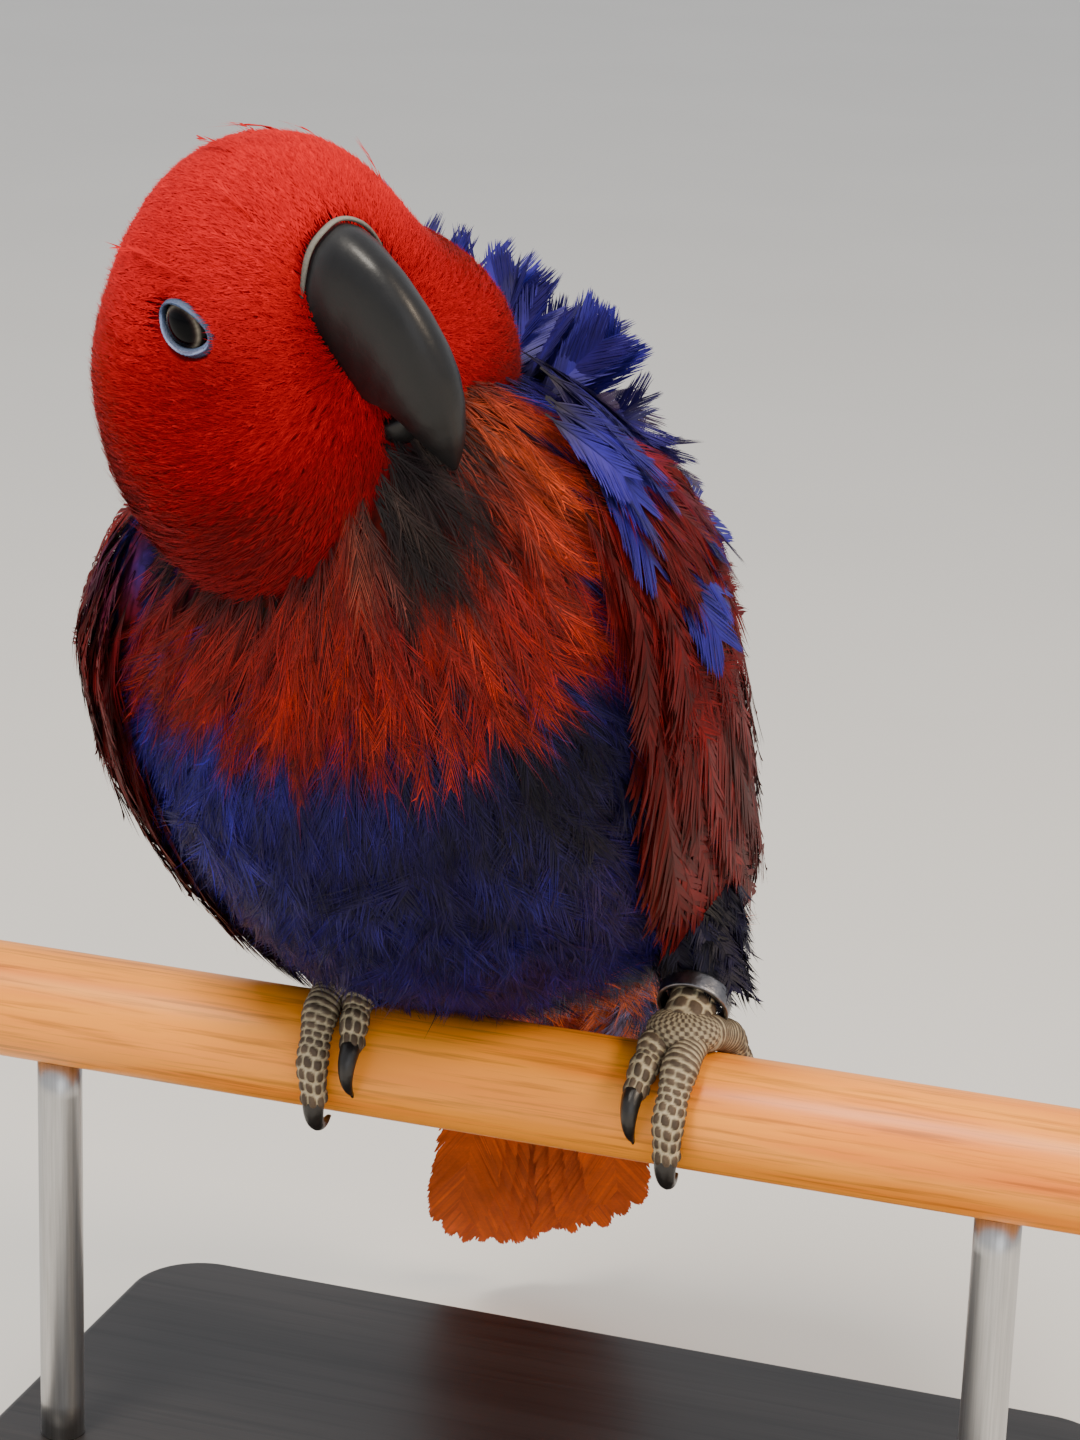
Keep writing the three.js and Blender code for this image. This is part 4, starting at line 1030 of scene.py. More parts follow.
def head_feathers(rng, polar_range, spacing, length, width, rise, **shape):
    """Small feathers of the head, lying back from the bill, left out round the eyes, under the bill
    and where the head meets the neck. They are longer towards the throat, shorter towards the bill
    and small near the eyes, and a few stray ones on the crown stand up."""
    scale = settings().plumage.spacing
    u, v = scattered(head, polar_range, (0, 2 * np.pi), spacing * scale, rng)
    roots = head(u, v, 0.0)
    keep = (depth_in_body(roots) < 3) & bare_of_face(roots)
    u, v, roots = u[keep], v[keep], roots[keep]
    count = len(u)
    local = in_head(roots)
    ragged = ease(-local[:, 1], 18, 34)
    stray = (rng.uniform(0, 1, count) < 0.0015) & (local[:, 1] > 5)
    size = rng.uniform(*length, count) * (1 + 1.5 * ragged)
    size = size * (0.62 + 0.38 * ease(u, 0.45, 1.2)) * (1 + stray)
    lean = 0.16 * rng.normal(0, 1, count)
    low, high, power = rise
    tip = high * rng.uniform(0.7, 1.2, count) + 1.4 * ragged * rng.uniform(0, 1, count) + 2.2 * stray
    small = 0.5 + 0.5 * ease(near_eye(roots), 1.0, 1.9)
    size, tip = size * small, tip * (1.4 * small - 0.4)
    paths = grown(head, u, v, lean, size, (np.full(count, low), tip, power), stations=4)
    beyond = 2 * paths[0][:, -1] - paths[0][:, -2]
    off_eye = np.minimum(near_eye(paths[0]).min(1), near_eye(beyond)) > 0.98
    paths, u, v, roots = [p[off_eye] for p in paths], u[off_eye], v[off_eye], roots[off_eye]
    ragged, small, count = ragged[off_eye], small[off_eye], int(off_eye.sum())
    tint = head_tint(roots, rng)
    wide = rng.uniform(*width, count) * (1 + 0.7 * ragged) * small
    return feathers(
        paths, wide, rng, tint, tint * 0.9,
        np.stack([np.mod(v, 2 * np.pi) / (2 * np.pi), u / np.pi], -1), **shape,
    )


# The right eye in the head's own lengths, and the half width and height of its bare ring, whose
# middle lies this far along and across the opening.
EYE = dict(middle=(-1.5, -2.1, 15.8), gaze=(0.22, 0.215, 0.951), radius=6.0, tilt=14.0)
RING_MIDDLE = (0.35, -0.05)


def eye_axes(side):
    """An eye's middle in the head's own lengths, and its axes: along the opening towards the bill,
    across it upwards and out of it. Side is 1 for the head's right eye."""
    flip = np.array([1, 1, side])
    gaze = unit(np.array(EYE["gaze"])) * flip
    level = unit(np.array([1.0, 0, 0]) - gaze * gaze[0])
    upward = unit(np.array([0, 1.0, 0]) - gaze * gaze[1] - level * level[1])
    a = math.radians(EYE["tilt"])
    along_opening = level * math.cos(a) - upward * math.sin(a)
    return np.array(EYE["middle"]) * flip, along_opening, upward * math.cos(a) + level * math.sin(a), gaze


def near_eye(points):
    """How far points lie from the nearer eye's axis, as a share of the bare ring's own outline."""
    local = in_head(points) / SKULL
    far = np.full(points.shape[:-1], 9.0)
    for side in (1, -1):
        middle, along_opening, across, gaze = eye_axes(side)
        d = local - middle
        level, high = d @ along_opening - RING_MIDDLE[0], d @ across - RING_MIDDLE[1]
        ratio = np.hypot(level / 5.7, high / 4.65)
        far = np.where(d @ gaze > 0, np.minimum(far, ratio), far)
    return far


def bare_of_face(points):
    """True for roots outside the eyes' bare rings, the bill's root and the lower bill."""
    return (near_eye(points) > 1.04) & (depth_in_bill(points, -1.1) < 0) & (depth_in_scoop(points) < 0)


# Bill and eyes

# The upper bill's ridge and its cutting edge, ahead and up in the head's own lengths.
CULMEN = [
    [11, 7], [19.5, 11.4], [28.9, 8.2], [35.3, 1.4],
    [38.5, -7], [38.6, -14.5], [36.4, -22.1], [32.8, -28.2],
]
CUTTING_EDGE = [
    [8, -12], [13, -14.6], [18, -16.2], [22.6, -16.8],
    [26, -16.6], [28.4, -18.4], [30.4, -22.6], [32.2, -27.6],
]
BILL_HALF_WIDTH = [8.6, 8.6, 7.2, 6.4, 5.8, 4.8, 3.1, 0.7]
# The lower bill's middle line, its half width and its depth below that line.
SCOOP = [[9, -19], [15, -20], [20.5, -20.4], [24.4, -20.4], [26.6, -19.9]]
SCOOP_HALF_WIDTH = [6.6, 6.8, 6, 4.9, 3]
SCOOP_DEPTH = [6, 7, 6.6, 4.6, 2]


def bill(t, around, out=0.0):
    """The upper bill: at t an arch from the culmen down to the cutting edge, closed below by a
    shallow hollow; its height follows cos(around)^0.8 and its width sin(around)."""
    t, around, out = np.broadcast_arrays(np.asarray(t, float), around, out)
    top, edge = along(CULMEN, t), along(CUTTING_EDGE, t)
    half = along(BILL_HALF_WIDTH, t) + out
    run = top - edge
    depth = np.linalg.norm(run, axis=-1)
    cos = np.cos(around)
    high = np.where(cos > 0, np.abs(cos) ** 0.8, 0.1 * cos)
    reach = ((0.12 + 0.88 * high) * (depth + 2 * out) - out) / depth
    place = edge + run * reach[..., None]
    return head_point(np.stack([place[..., 0], place[..., 1], half * np.sin(around)], -1))


def depth_in_bill(points, margin):
    """Above 0 for points inside the bill grown by a margin, each compared with ellipses along it."""
    local = in_head(points) / SKULL
    t = np.linspace(0, 1, 40)
    top, edge, half = along(CULMEN, t), along(CUTTING_EDGE, t), along(BILL_HALF_WIDTH, t)
    middle = (top + edge) / 2
    deep = np.linalg.norm(top - edge, axis=-1) / 2
    flat = np.linalg.norm(local[:, None, :2] - middle, axis=-1) / (deep + margin)
    ratio = np.hypot(flat, local[:, None, 2] / (half + margin))
    return 1 - ratio.min(1)


def depth_in_scoop(points):
    """Above 0 for points inside the lower bill grown by 0.6, each compared with ellipses along it."""
    local = in_head(points) / SKULL
    t = np.linspace(0, 1, 20)
    middle = along(SCOOP, t)
    flat = np.hypot(local[:, None, 0] - middle[:, 0], (local[:, None, 1] - middle[:, 1] + 1.5) * 0.9)
    ratio = np.hypot(flat, local[:, None, 2]) / (along(SCOOP_HALF_WIDTH, t) + 0.6)
    return 1 - ratio.min(1)


def scoop(t, around):
    """The lower bill: round its middle line a half ellipse below and a flatter one above."""
    t, around = np.broadcast_arrays(np.asarray(t, float), around)
    middle = along(SCOOP, t)
    cos = np.cos(around)
    drop = np.where(cos > 0, 1.4, along(SCOOP_DEPTH, t))
    half = along(SCOOP_HALF_WIDTH, t) * np.sin(around)
    return head_point(np.stack([middle[..., 0], middle[..., 1] + cos * drop, half], -1))


def turns(columns):
    """Angles evenly spread round a whole turn."""
    return np.linspace(0, 2 * np.pi, columns, endpoint=False)


def lattice(rows, columns, low=0.0, high=1.0):
    """Row places from low to high and turns round a ring, as two grids."""
    return np.meshgrid(np.linspace(low, high, rows), turns(columns), indexing="ij")


def with_ends(values):
    """Per-point values of a lattice, with one more for each end's middle point."""
    flat = values.reshape(-1, values.shape[-1])
    return np.concatenate([flat, values[:1].mean(1), values[-1:].mean(1)])


def add_tinted(name, points, faces, material, slot, tint, *replaced):
    """A finished piece from points in the dowel's millimetres, with a tint for each."""
    make_piece(name, to_floor(points), faces, material, tint=tint, replaces=replaced)


def build_upper_bill(material):
    """The upper bill with faint growth waves, a painted highlight along its ridge, and lighter at its root
    and at its worn tip."""
    horn = tone("bill", "horn")
    t, a = lattice(64, 56, 0.02, 0.995)
    wave = 0.05 * np.sin(60 * t + 2 * np.cos(a)) * ease(t, 0.1, 0.3)
    points, faces = closed_tube(bill(t, a, wave * 0.6 - 0.02))
    # Painted highlight along the culmen's ridge, fading towards the tip.
    ridge_highlight = np.clip(np.cos(a), 0, 1) ** 6
    worn = ease(t, 0.8, 1.0) * 0.25
    mottle = 0.12 * np.sin(23 * t + 3 * np.sin(5 * a)) * np.sin(9 * a)
    shade = 1 + 0.9 * ridge_highlight * (1 - ease(t, 0.3, 0.9)) + 0.5 * worn + mottle
    light = horn * shade[..., None]
    root = 0.4 * (1 - ease(t, 0.12, 0.21))
    light = light + (linear([0.30, 0.30, 0.31]) - light) * root[..., None]
    add_tinted("beak_upper_horn", points, faces, material, "bill", with_ends(light), "beak_upper")


def build_lower_bill(material):
    """The lower bill, a little lighter along its flat upper side."""
    t, a = lattice(34, 40)
    points, faces = closed_tube(scoop(t, a))
    light = tone("bill", "horn") * (1 + 0.5 * ease(np.cos(a), 0.3, 1))[..., None]
    add_tinted("beak_lower_horn", points, faces, material, "bill", with_ends(light), "beak_lower")


def build_cere(material):
    """The bare band over the bill's root: a bead from side to side, narrower and lower at its ends."""
    around, a = np.meshgrid(np.radians(np.linspace(-72, 72, 61)), turns(14), indexing="ij")
    wide = 0.012 * (1 - 0.5 * ease(np.abs(around), 0.5, 1.25))
    t = 0.138 + wide * np.cos(a) + 0.003 * np.sin(9 * around)
    height = 0.3 + 0.4 * (1 + np.sin(a)) * (1 - 0.4 * ease(np.abs(around), 0.6, 1.2))
    points, faces = closed_tube(bill(t, around, height / SKULL))
    pale = tone("bill", "cere") * (1 - 0.45 * ease(np.abs(around), 0.2, 1.1))[..., None]
    pale = pale * (0.8 + 0.2 * np.cos(a))[..., None]
    add_tinted("cere_band", points, faces, material, "cere", with_ends(pale), "cere")


def eye_point(side, x, y, radius):
    """A point on a ball round the eye: x along the opening, y across it, lifted to the radius."""
    middle, along_opening, across, gaze = eye_axes(side)
    z = np.sqrt(np.maximum(radius**2 - x**2 - y**2, 0))
    x, y, z = [np.asarray(v, float)[..., None] for v in np.broadcast_arrays(x, y, z)]
    return head_point(middle + along_opening * x + across * y + gaze * z)


def build_eyeball(name, side, material):
    """The ball, with pupil, iris, pale ring and dark rim by the distance from its axis."""
    radius = EYE["radius"]
    polar, a = lattice(64, 56, 0.01, 3.0)
    x, y = radius * np.sin(polar) * np.cos(a), radius * np.sin(polar) * np.sin(a)
    front = eye_point(side, x, y, radius)
    middle = head_point(eye_axes(side)[0])
    gaze = unit(eye_point(side, np.zeros(1), np.zeros(1), radius)[0] - middle)
    behind = front - 2 * gaze * ((front - middle) @ gaze)[..., None]
    points = np.where((polar > np.pi / 2)[..., None], behind, front)
    points, faces = closed_tube(points)
    far = radius * np.sin(polar)
    streaks = 1 + 0.18 * np.sin(31 * a + 4 * np.sin(3 * a))[..., None]
    light = mixed(linear([0.02, 0.02, 0.03]), linear([0.13, 0.09, 0.09]) * streaks, ease(far, 2.6, 3.15))
    light = mixed(light, tone("bill", "iris") * streaks, 0.95 * np.exp(-(((far - 3.55) / 0.24) ** 2)))
    light = mixed(light, linear([0.05, 0.045, 0.055]), ease(far, 3.8, 4.1))
    add_tinted(f"{name}_ball", points, faces, material, "eye", with_ends(light), name)


def build_lids(name, side, material):
    """Both lids as one ring round the ball, from the opening's edge out to the feathers: its height is a
    hump across the ring with fine folds, higher towards the bill. Painted light lies on the lower lid, and
    painted shade on the upper lid, at the ring's inner and outer edges and on its hidden underside."""
    inner, outer = EYE["radius"] + 0.2, EYE["radius"] + 0.95
    a, across = np.meshgrid(turns(96), np.linspace(0, 1, 12), indexing="ij")
    rim_x, rim_y = 0.1 + 4.9 * np.cos(a), 0.42 + 3.3 * np.sin(a) * np.abs(np.sin(a)) ** 0.15
    far_x, far_y = RING_MIDDLE[0] + 5.75 * np.cos(a), RING_MIDDLE[1] + 4.7 * np.sin(a)
    x, y = rim_x + (far_x - rim_x) * across, rim_y + (far_y - rim_y) * across
    fold = 0.14 * np.sin(across * 15 + 0.7 * np.sin(6 * a)) * np.sin(np.pi * across)
    fold = fold + 0.07 * np.sin(38 * a) * across
    lift = inner + (outer - inner) * np.sin(np.pi * np.clip(across * 0.72 + 0.1, 0, 1)) ** 0.7 + fold
    lift = lift + 0.45 * np.clip(np.cos(a), 0, 1) ** 2 * across
    top = eye_point(side, x, y, lift)
    under = eye_point(side, x[:, ::-1], y[:, ::-1], np.full_like(x, inner - 0.35))
    loops = np.moveaxis(np.concatenate([top, under], 1), 1, 0)
    points, faces = closed_ring(loops)
    # Painted shade at the ring's inner edge by the ball and at its outer edge under the feathers.
    shade = 0.3 + 0.85 * ease(across, 0.0, 0.3) - 0.45 * ease(across, 0.5, 1.0)
    # Painted light and shade: the lower lid lighter with a pale lilac highlight, the upper lid darker.
    low = 0.62 + 0.38 * ease(-np.sin(a), -0.6, 0.4)
    lit = np.clip(-np.sin(a), 0, 1) * ease(across, 0.1, 0.25) * (1 - ease(across, 0.35, 0.6))
    light = tone("bill", "lid") * shade[..., None] * low[..., None]
    light = mixed(light, linear([0.66, 0.68, 0.82]), 0.75 * lit)
    # Painted shade: the hidden underside at half brightness.
    light = np.concatenate([light, light[:, ::-1] * 0.5], 1)
    light = np.moveaxis(light, 1, 0).reshape(-1, 3)
    add_tinted(f"{name}_ring", points, faces, material, "eyelid", light, name)


# Legs and feet

# How far each foot stands from the middle of the dowel.
FOOT_PLACE = 29.7
FEET = {"left": FOOT_PLACE, "right": -FOOT_PLACE}
# Each toe's offset from the foot at its root and at its end, its turn round the dowel in degrees
# and its radius.
TOES = {1: (-2.6, -5, -84, 2.8), 2: (-2.6, -5, 64, 3.2), 3: (2.2, 1.2, 114, 3.5), 4: (3.2, 8, -112, 3.3)}
# The leg ring's inner radius, its band's thickness and height, and its place down the shank.
RING = dict(inside=5.3, thick=0.9, height=3.2, place=0.62)
# Scutes in each row round a limb.
SCUTES_ROUND = 9


def limb_rings(points, radii, columns):
    """Rings round a path, turned from the direction away from the dowel to the side. Radii are one
    per point or one per point and turn."""
    run = unit(np.gradient(points, axis=0))
    over = unit(np.cross(run, [1.0, 0, 0]))
    side = np.cross(run, over)
    a = turns(columns)[:, None]
    r = np.broadcast_to(np.asarray(radii, float).reshape(len(points), -1), (len(points), columns))
    return points[:, None] + (over[:, None] * np.cos(a) + side[:, None] * np.sin(a)) * r[..., None]


def thigh_points(foot, t):
    """The middle line of a thigh, from inside the belly down to the shank."""
    return along([[foot * 0.6, 18, 46], [foot * 0.7, 15, 37], [foot * 0.86, 13, 28], [foot, 11, 20]], t)


def thigh(foot):
    """The surface of a feathered thigh, u from the belly down and v round it in degrees."""

    def surface(u, v, out=0.0):
        u, v, out = np.broadcast_arrays(np.asarray(u, float), v, out)
        middle = thigh_points(foot, u)
        run = unit(thigh_points(foot, u + 0.01) - thigh_points(foot, u - 0.01))
        over = unit(np.cross(run, [1.0, 0, 0]))
        side = np.cross(run, over)
        radius = (along([9, 10, 8.4, 6], u) + out)[..., None]
        a = np.radians(v)[..., None]
        return middle + (over * np.cos(a) + side * np.sin(a)) * radius

    return surface


def shank_point(foot, t):
    """The straight middle line of a shank, down and forward on to the dowel."""
    t = np.asarray(t, float)
    return np.stack([np.full_like(t, foot), 14 * (1 - t), PERCH_RADIUS + 12 - 8 * t], -1)


def toe_point(foot, number, t, lift):
    """Places of a toe: arcs round the dowel, lifted by its own radius, drifting to its end's side."""
    start, end, wrap, _ = TOES[number]
    a = np.radians(wrap * t)
    reach = PERCH_RADIUS + GAP + lift
    x = foot + np.sign(foot) * (start + (end - start) * np.minimum(1, np.maximum(t, 0)) ** 0.8)
    return np.stack([x, -reach * np.sin(a), reach * np.cos(a)], -1)


def scaled(t, a, count):
    """Scutes as a net of cells: rows along the limb, closer at its root, with a set number of cells
    in each and every other row moved by half. They are bands near the root and ovals near the end.
    Returns the relief, the rims between the cells and a value for each cell, all from 0 to 1."""
    rows = count * (1.7 * t - 0.7 * t**2) + 0.16 * np.cos(2 * a) + 0.1 * np.sin(3 * a)
    row = np.floor(rows)
    around = SCUTES_ROUND * a / (2 * np.pi) + 0.5 * np.mod(row, 2) + 0.15 * np.sin(2.7 * row)
    cell = np.mod(np.floor(around), SCUTES_ROUND)
    oval = ease(t, 0.2, 0.55)
    high = np.abs(2 * np.mod(rows, 1) - 1)
    wide = np.abs(2 * np.mod(around, 1) - 1) * (0.5 + 0.5 * oval)
    far = (high**2.8 + wide**2.8) ** (1 / 2.8)
    draw = np.mod(np.abs(np.sin(12.99 * row + 78.23 * cell)) * 437.5, 1)
    return 1 - np.clip(far, 0, 1) ** 3, ease(far, 0.5 + 0.24 * oval, 0.86 + 0.1 * oval), draw


def scaled_limb(points, radii, count):
    """A scaled limb: its rings swell by the scutes' relief, and its tint is pale on their rims."""
    t, a = lattice(len(points), 63)
    relief, rim, draw = scaled(t, a, count)
    swell = radii[:, None] - 0.22 + 0.42 * relief * ease(t, -0.05, 0.05)
    mesh_points, faces = closed_tube(limb_rings(points, swell, a.shape[1]))
    light = mixed(tone("foot", "scale") * (0.7 + 0.6 * draw)[..., None], tone("foot", "rim"), rim)
    return mesh_points, faces, with_ends(light)


def foot_pad(foot):
    """The pad that a foot's toes meet in: a flat ellipsoid with a net of small bumps."""
    polar, a = lattice(72, 120, 0.03, np.pi - 0.03)
    ball = np.stack([np.sin(polar) * np.cos(a), np.sin(polar) * np.sin(a), np.cos(polar)], -1)
    net = np.sin(22 * a) * np.sin(18 * polar)
    ball = ball * (1 - 0.02 * net)[..., None] * [6.2, 6, 3.8]
    points, faces = closed_tube(ball + [foot, -0.5, PERCH_RADIUS + GAP + 3.6])
    light = mixed(tone("foot", "scale"), tone("foot", "rim"), 0.7 * ease(net, -0.3, 0.2))
    return points, faces, with_ends(light)


def build_toe(name, foot, number, material):
    """A scaled toe, thinner towards its end, with three soft swellings along it."""
    wrap, thick = TOES[number][2:]
    f = np.linspace(0, 1, 110)
    radii = 0.9 * thick * (1 - 0.3 * f) * (1 + 0.06 * np.cos(6 * np.pi * f))
    radii = radii * (1 - 0.35 * ease(f, 0.9, 1.0) ** 2)
    path = toe_point(foot, number, 0.03 + 0.97 * f, radii)
    points, faces, light = scaled_limb(path, radii, round(abs(wrap) / 6))
    add_tinted(f"{name}_skin", points, faces, material, "foot_skin", light, name)


def build_claw(name, foot, number, material):
    """A claw that goes on from its toe's arc, rises and falls by a sine and narrows to a point. It has a
    keel, is lighter at its root, and has a painted highlight along one side."""
    wrap, thick = TOES[number][2:]
    g = np.linspace(0, 1, 40)
    slim = 1.7 * (thick / 3.4) * (1 - g**1.4) + 0.22
    arc = 0.95 + (46 / abs(wrap)) * g
    path = toe_point(foot, number, arc, slim + 0.35 + 1.9 * np.sin(np.pi * np.minimum(1, g + 0.1)))
    a = turns(24)
    keel = 1 - 0.12 * np.cos(a) ** 8 - 0.1 * np.abs(np.sin(2 * a))
    points, faces = closed_tube(limb_rings(path, slim[:, None] * keel, len(a)))
    # Painted highlight: gleam lightens a band along one side, fading towards the point.
    gleam = 1.6 * np.exp(-(((a - 1.2) / 0.5) ** 2))[None] * (1 - g[:, None])
    shade = 1 + gleam + 0.4 * (1 - ease(g, 0, 0.15))[:, None]
    light = with_ends(tone("foot", "claw") * shade[..., None])
    add_tinted(f"{name}_horn", points, faces, material, "claw", light, name)


def squared(wave):
    """A sine or cosine with flatter tops, its power 0.35, which makes a circle nearly a square."""
    return np.sign(wave) * np.abs(wave) ** 0.35


def build_leg_ring(material):
    """The metal band on the left shank: a nearly square section carried round the shank's axis."""
    foot, half, tall = FEET["left"], RING["thick"] / 2, RING["height"] / 2
    middle = shank_point(foot, np.array(RING["place"]))
    axis = unit(shank_point(foot, np.array(0.0)) - shank_point(foot, np.array(1.0)))
    level = np.array([1.0, 0, 0])
    turn, a = np.meshgrid(turns(96), turns(20), indexing="ij")
    r = RING["inside"] + half + half * squared(np.cos(a))
    h = tall * squared(np.sin(a))
    loops = middle + axis * h[..., None] + level * (r * np.cos(turn))[..., None]
    loops = loops + np.cross(axis, level) * (r * np.sin(turn))[..., None]
    points, faces = closed_ring(loops)
    light = tone("foot", "ring") * (1 + 0.15 * np.sin(13 * turn + 3 * a)).reshape(-1, 1)
    add_tinted("leg_ring_band", points, faces, material, "ring", light, "leg_ring")


def build_foot(side, foot, skin_material, claw_material):
    """One shank with its pad as one piece, and its four toes with their claws."""
    f = np.linspace(0, 1, 110)
    shank = scaled_limb(shank_point(foot, f), 4.1 + 0.3 * ease(f, 0.7, 1.0), 11)
    points, faces, light = joined([shank, foot_pad(foot)])
    add_tinted(f"shank_{side}_skin", points, faces, skin_material, "foot_skin", light, f"shank_{side}")
    for number in TOES:
        build_toe(f"toe_{side}_{number}", foot, number, skin_material)
        build_claw(f"claw_{side}_{number}", foot, number, claw_material)


# Skin

# The size of the cells that fuse the skin's forms, in metres.
SKIN_CELL = 0.0013


def skin_forms():
    """The closed forms that the skin is fused from, each inside the plumage by the coat's depth:
    body, head, wings' cores, the tail's core and the thighs."""
    coat = settings().plumage.coat * 1000
    a = np.linspace(0, 360, 72, endpoint=False)
    forms = [closed_tube(body(np.linspace(3.2, NECK_END, 60)[:, None], a, -coat))]
    polar, turn = lattice(48, 72, 0.02, np.pi - 0.02)
    forms.append(closed_tube(head(polar, turn, -0.55 * coat)))
    for side in (1, -1):
        u, v = np.linspace(0.04, 0.97, 40)[:, None], np.linspace(0.03, 0.97, 24)[None]
        over = wing_core(side)(u, v, -0.9)
        under = wing_core(side)(u, v[:, ::-1], -6.0)
        forms.append(closed_tube(np.concatenate([over, under], 1)))
        u = np.linspace(0.0, 0.97, 24)[:, None]
        forms.append(closed_tube(thigh(side * FOOT_PLACE)(u, a[::3], -1.2)))
    forms.append(closed_tube(tail_core(np.linspace(-0.3, 0.95, 30)[:, None], a, -1.0)))
    return forms


def sunk_round_eyes(points):
    """The skin pushed in by up to 3 mm inside the eyes' bare rings, in metres above the floor."""
    local = points * 1000 - [0, 0, PERCH_HEIGHT]
    sunk = 3.0 * (1 - ease(near_eye(local), 0.8, 1.12))
    inward = unit(head_point(HEAD_MIDDLE) - local)
    on_head = np.abs(depth_in_head(local)) < 6
    return points + inward * (sunk * on_head)[:, None] / 1000


def fused_skin():
    """The skin's points in metres and its quads: the forms fused by cells and smoothed."""
    points, faces = joined(skin_forms())
    mesh = bpy.data.meshes.new("skin_forms")
    mesh.from_pydata(to_floor(points).tolist(), [], faces.tolist())
    rough = bpy.data.objects.new("skin_forms", mesh)
    bpy.context.scene.collection.objects.link(rough)
    fuse = rough.modifiers.new("Fuse", "REMESH")
    fuse.mode, fuse.voxel_size = "VOXEL", SKIN_CELL
    relax = rough.modifiers.new("Relax", "SMOOTH")
    relax.factor, relax.iterations = 0.5, 4
    shape = rough.evaluated_get(bpy.context.evaluated_depsgraph_get()).to_mesh()
    points = np.empty(len(shape.vertices) * 3, np.float32)
    shape.vertices.foreach_get("co", points)
    corners = np.empty(len(shape.loops), np.int32)
    shape.loops.foreach_get("vertex_index", corners)
    bpy.data.objects.remove(rough)
    return points.reshape(-1, 3).astype(float), corners.reshape(-1, 4)


def build_skin(material):
    """One closed skin, tinted like the feathers over it but darker."""
    points, quads = fused_skin()
    points = sunk_round_eyes(points)
    local = points * 1000 - [0, 0, PERCH_HEIGHT]
    rng = np.random.default_rng(settings().plumage.seed)
    s, x, y, _ = level_with(local, 160)
    tint = body_tint(s, np.degrees(np.arctan2(x, y)), rng)
    on_head = ease(depth_in_head(local), -1.0, 0.6)[:, None]
    tint = tint * (1 - on_head) + plume("head_red") * on_head
    at, run, _, _ = tail_axes()
    on_tail = ease((local - at) @ run, 4, 12)[:, None]
    tint = tint * (1 - on_tail) + plume("tail_red") * on_tail
    make_piece(
        "skin", points, quads, material, tint=tint * 0.45,
        replaces=("head", "neck", "torso", "thigh_left", "thigh_right"),
    )


def thigh_feathers(side, rng):
    """Short feathers on the part of a thigh that stands clear of the belly, or none."""
    surface = thigh(side * FOOT_PLACE)
    u, v = scattered(surface, (0.15, 0.95), (0, 360), 3.2, rng)
    clear = depth_in_body(surface(u, v, 0.0)) < 1.5
    if not clear.any():
        return []
    u, v = u[clear], v[clear]
    count = len(u)
    rise = (np.full(count, -0.8), rng.uniform(0.6, 2.4, count), 0.8)
    lean = 0.12 * rng.normal(0, 1, count)
    paths = grown(surface, u, v, lean, rng.uniform(7, 11, count), rise, stations=5)
    tint = mixed(linear([0.06, 0.04, 0.08]), plume("blue"), rng.beta(1, 3, count))
    part = feathers(
        paths, rng.uniform(5, 7, count), rng, varied(tint, rng, 0.14), plume("down_grey"),
        np.stack([np.mod(v, 360) / 360, u], -1), barbs=14, kind="soft", slant=32, loose=1.4, fuzz=0.6,
    )
    return [part]


# Dowel, stand and room

# The rounding of the dowel's ends, and of the base's corners seen from above.
DOWEL_RIM = 1.0
BASE_CORNER = 14


def build_dowel(material):
    """The dowel: a profile of length and radius, with a quarter circle at each end's edge, turned
    about X."""
    half, flat = PERCH_LENGTH / 2, PERCH_RADIUS - DOWEL_RIM
    turn = np.linspace(0, np.pi / 2, 8)
    end_x = half - DOWEL_RIM + DOWEL_RIM * np.sin(turn)
    end_r = flat + DOWEL_RIM * np.cos(turn)
    face_r = np.linspace(flat, 0.4, 10)[1:]
    face_x = np.full(len(face_r), half)
    shaft = np.linspace(-half + 2, half - 2, 60)
    x = np.concatenate([-face_x, -end_x[::-1], shaft, end_x, face_x])[:, None]
    r = np.concatenate([face_r[::-1], end_r[::-1], np.full(60, PERCH_RADIUS), end_r, face_r])[:, None]
    a = turns(96)
    points, faces = closed_tube(np.stack(np.broadcast_arrays(x, r * np.cos(a), r * np.sin(a)), -1))
    make_piece("perch_dowel", to_floor(points), faces, material, replaces=("perch",))


def build_rod(name, material):
    """A rod from the base up to the dowel, as wide as its solid and 0.2 mm into the base."""
    low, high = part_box(name)
    middle, radius = 500 * (low.x + high.x), 500 * (high.x - low.x)
    a = turns(96)
    z = np.linspace(1000 * low.z - 0.2, 1000 * high.z, 12)[:, None] - PERCH_HEIGHT
    rings = np.stack(np.broadcast_arrays(middle + radius * np.cos(a), radius * np.sin(a), z), -1)
    points, faces = closed_tube(rings)
    make_piece(f"{name}_bar", to_floor(points), faces, material, replaces=(name,))


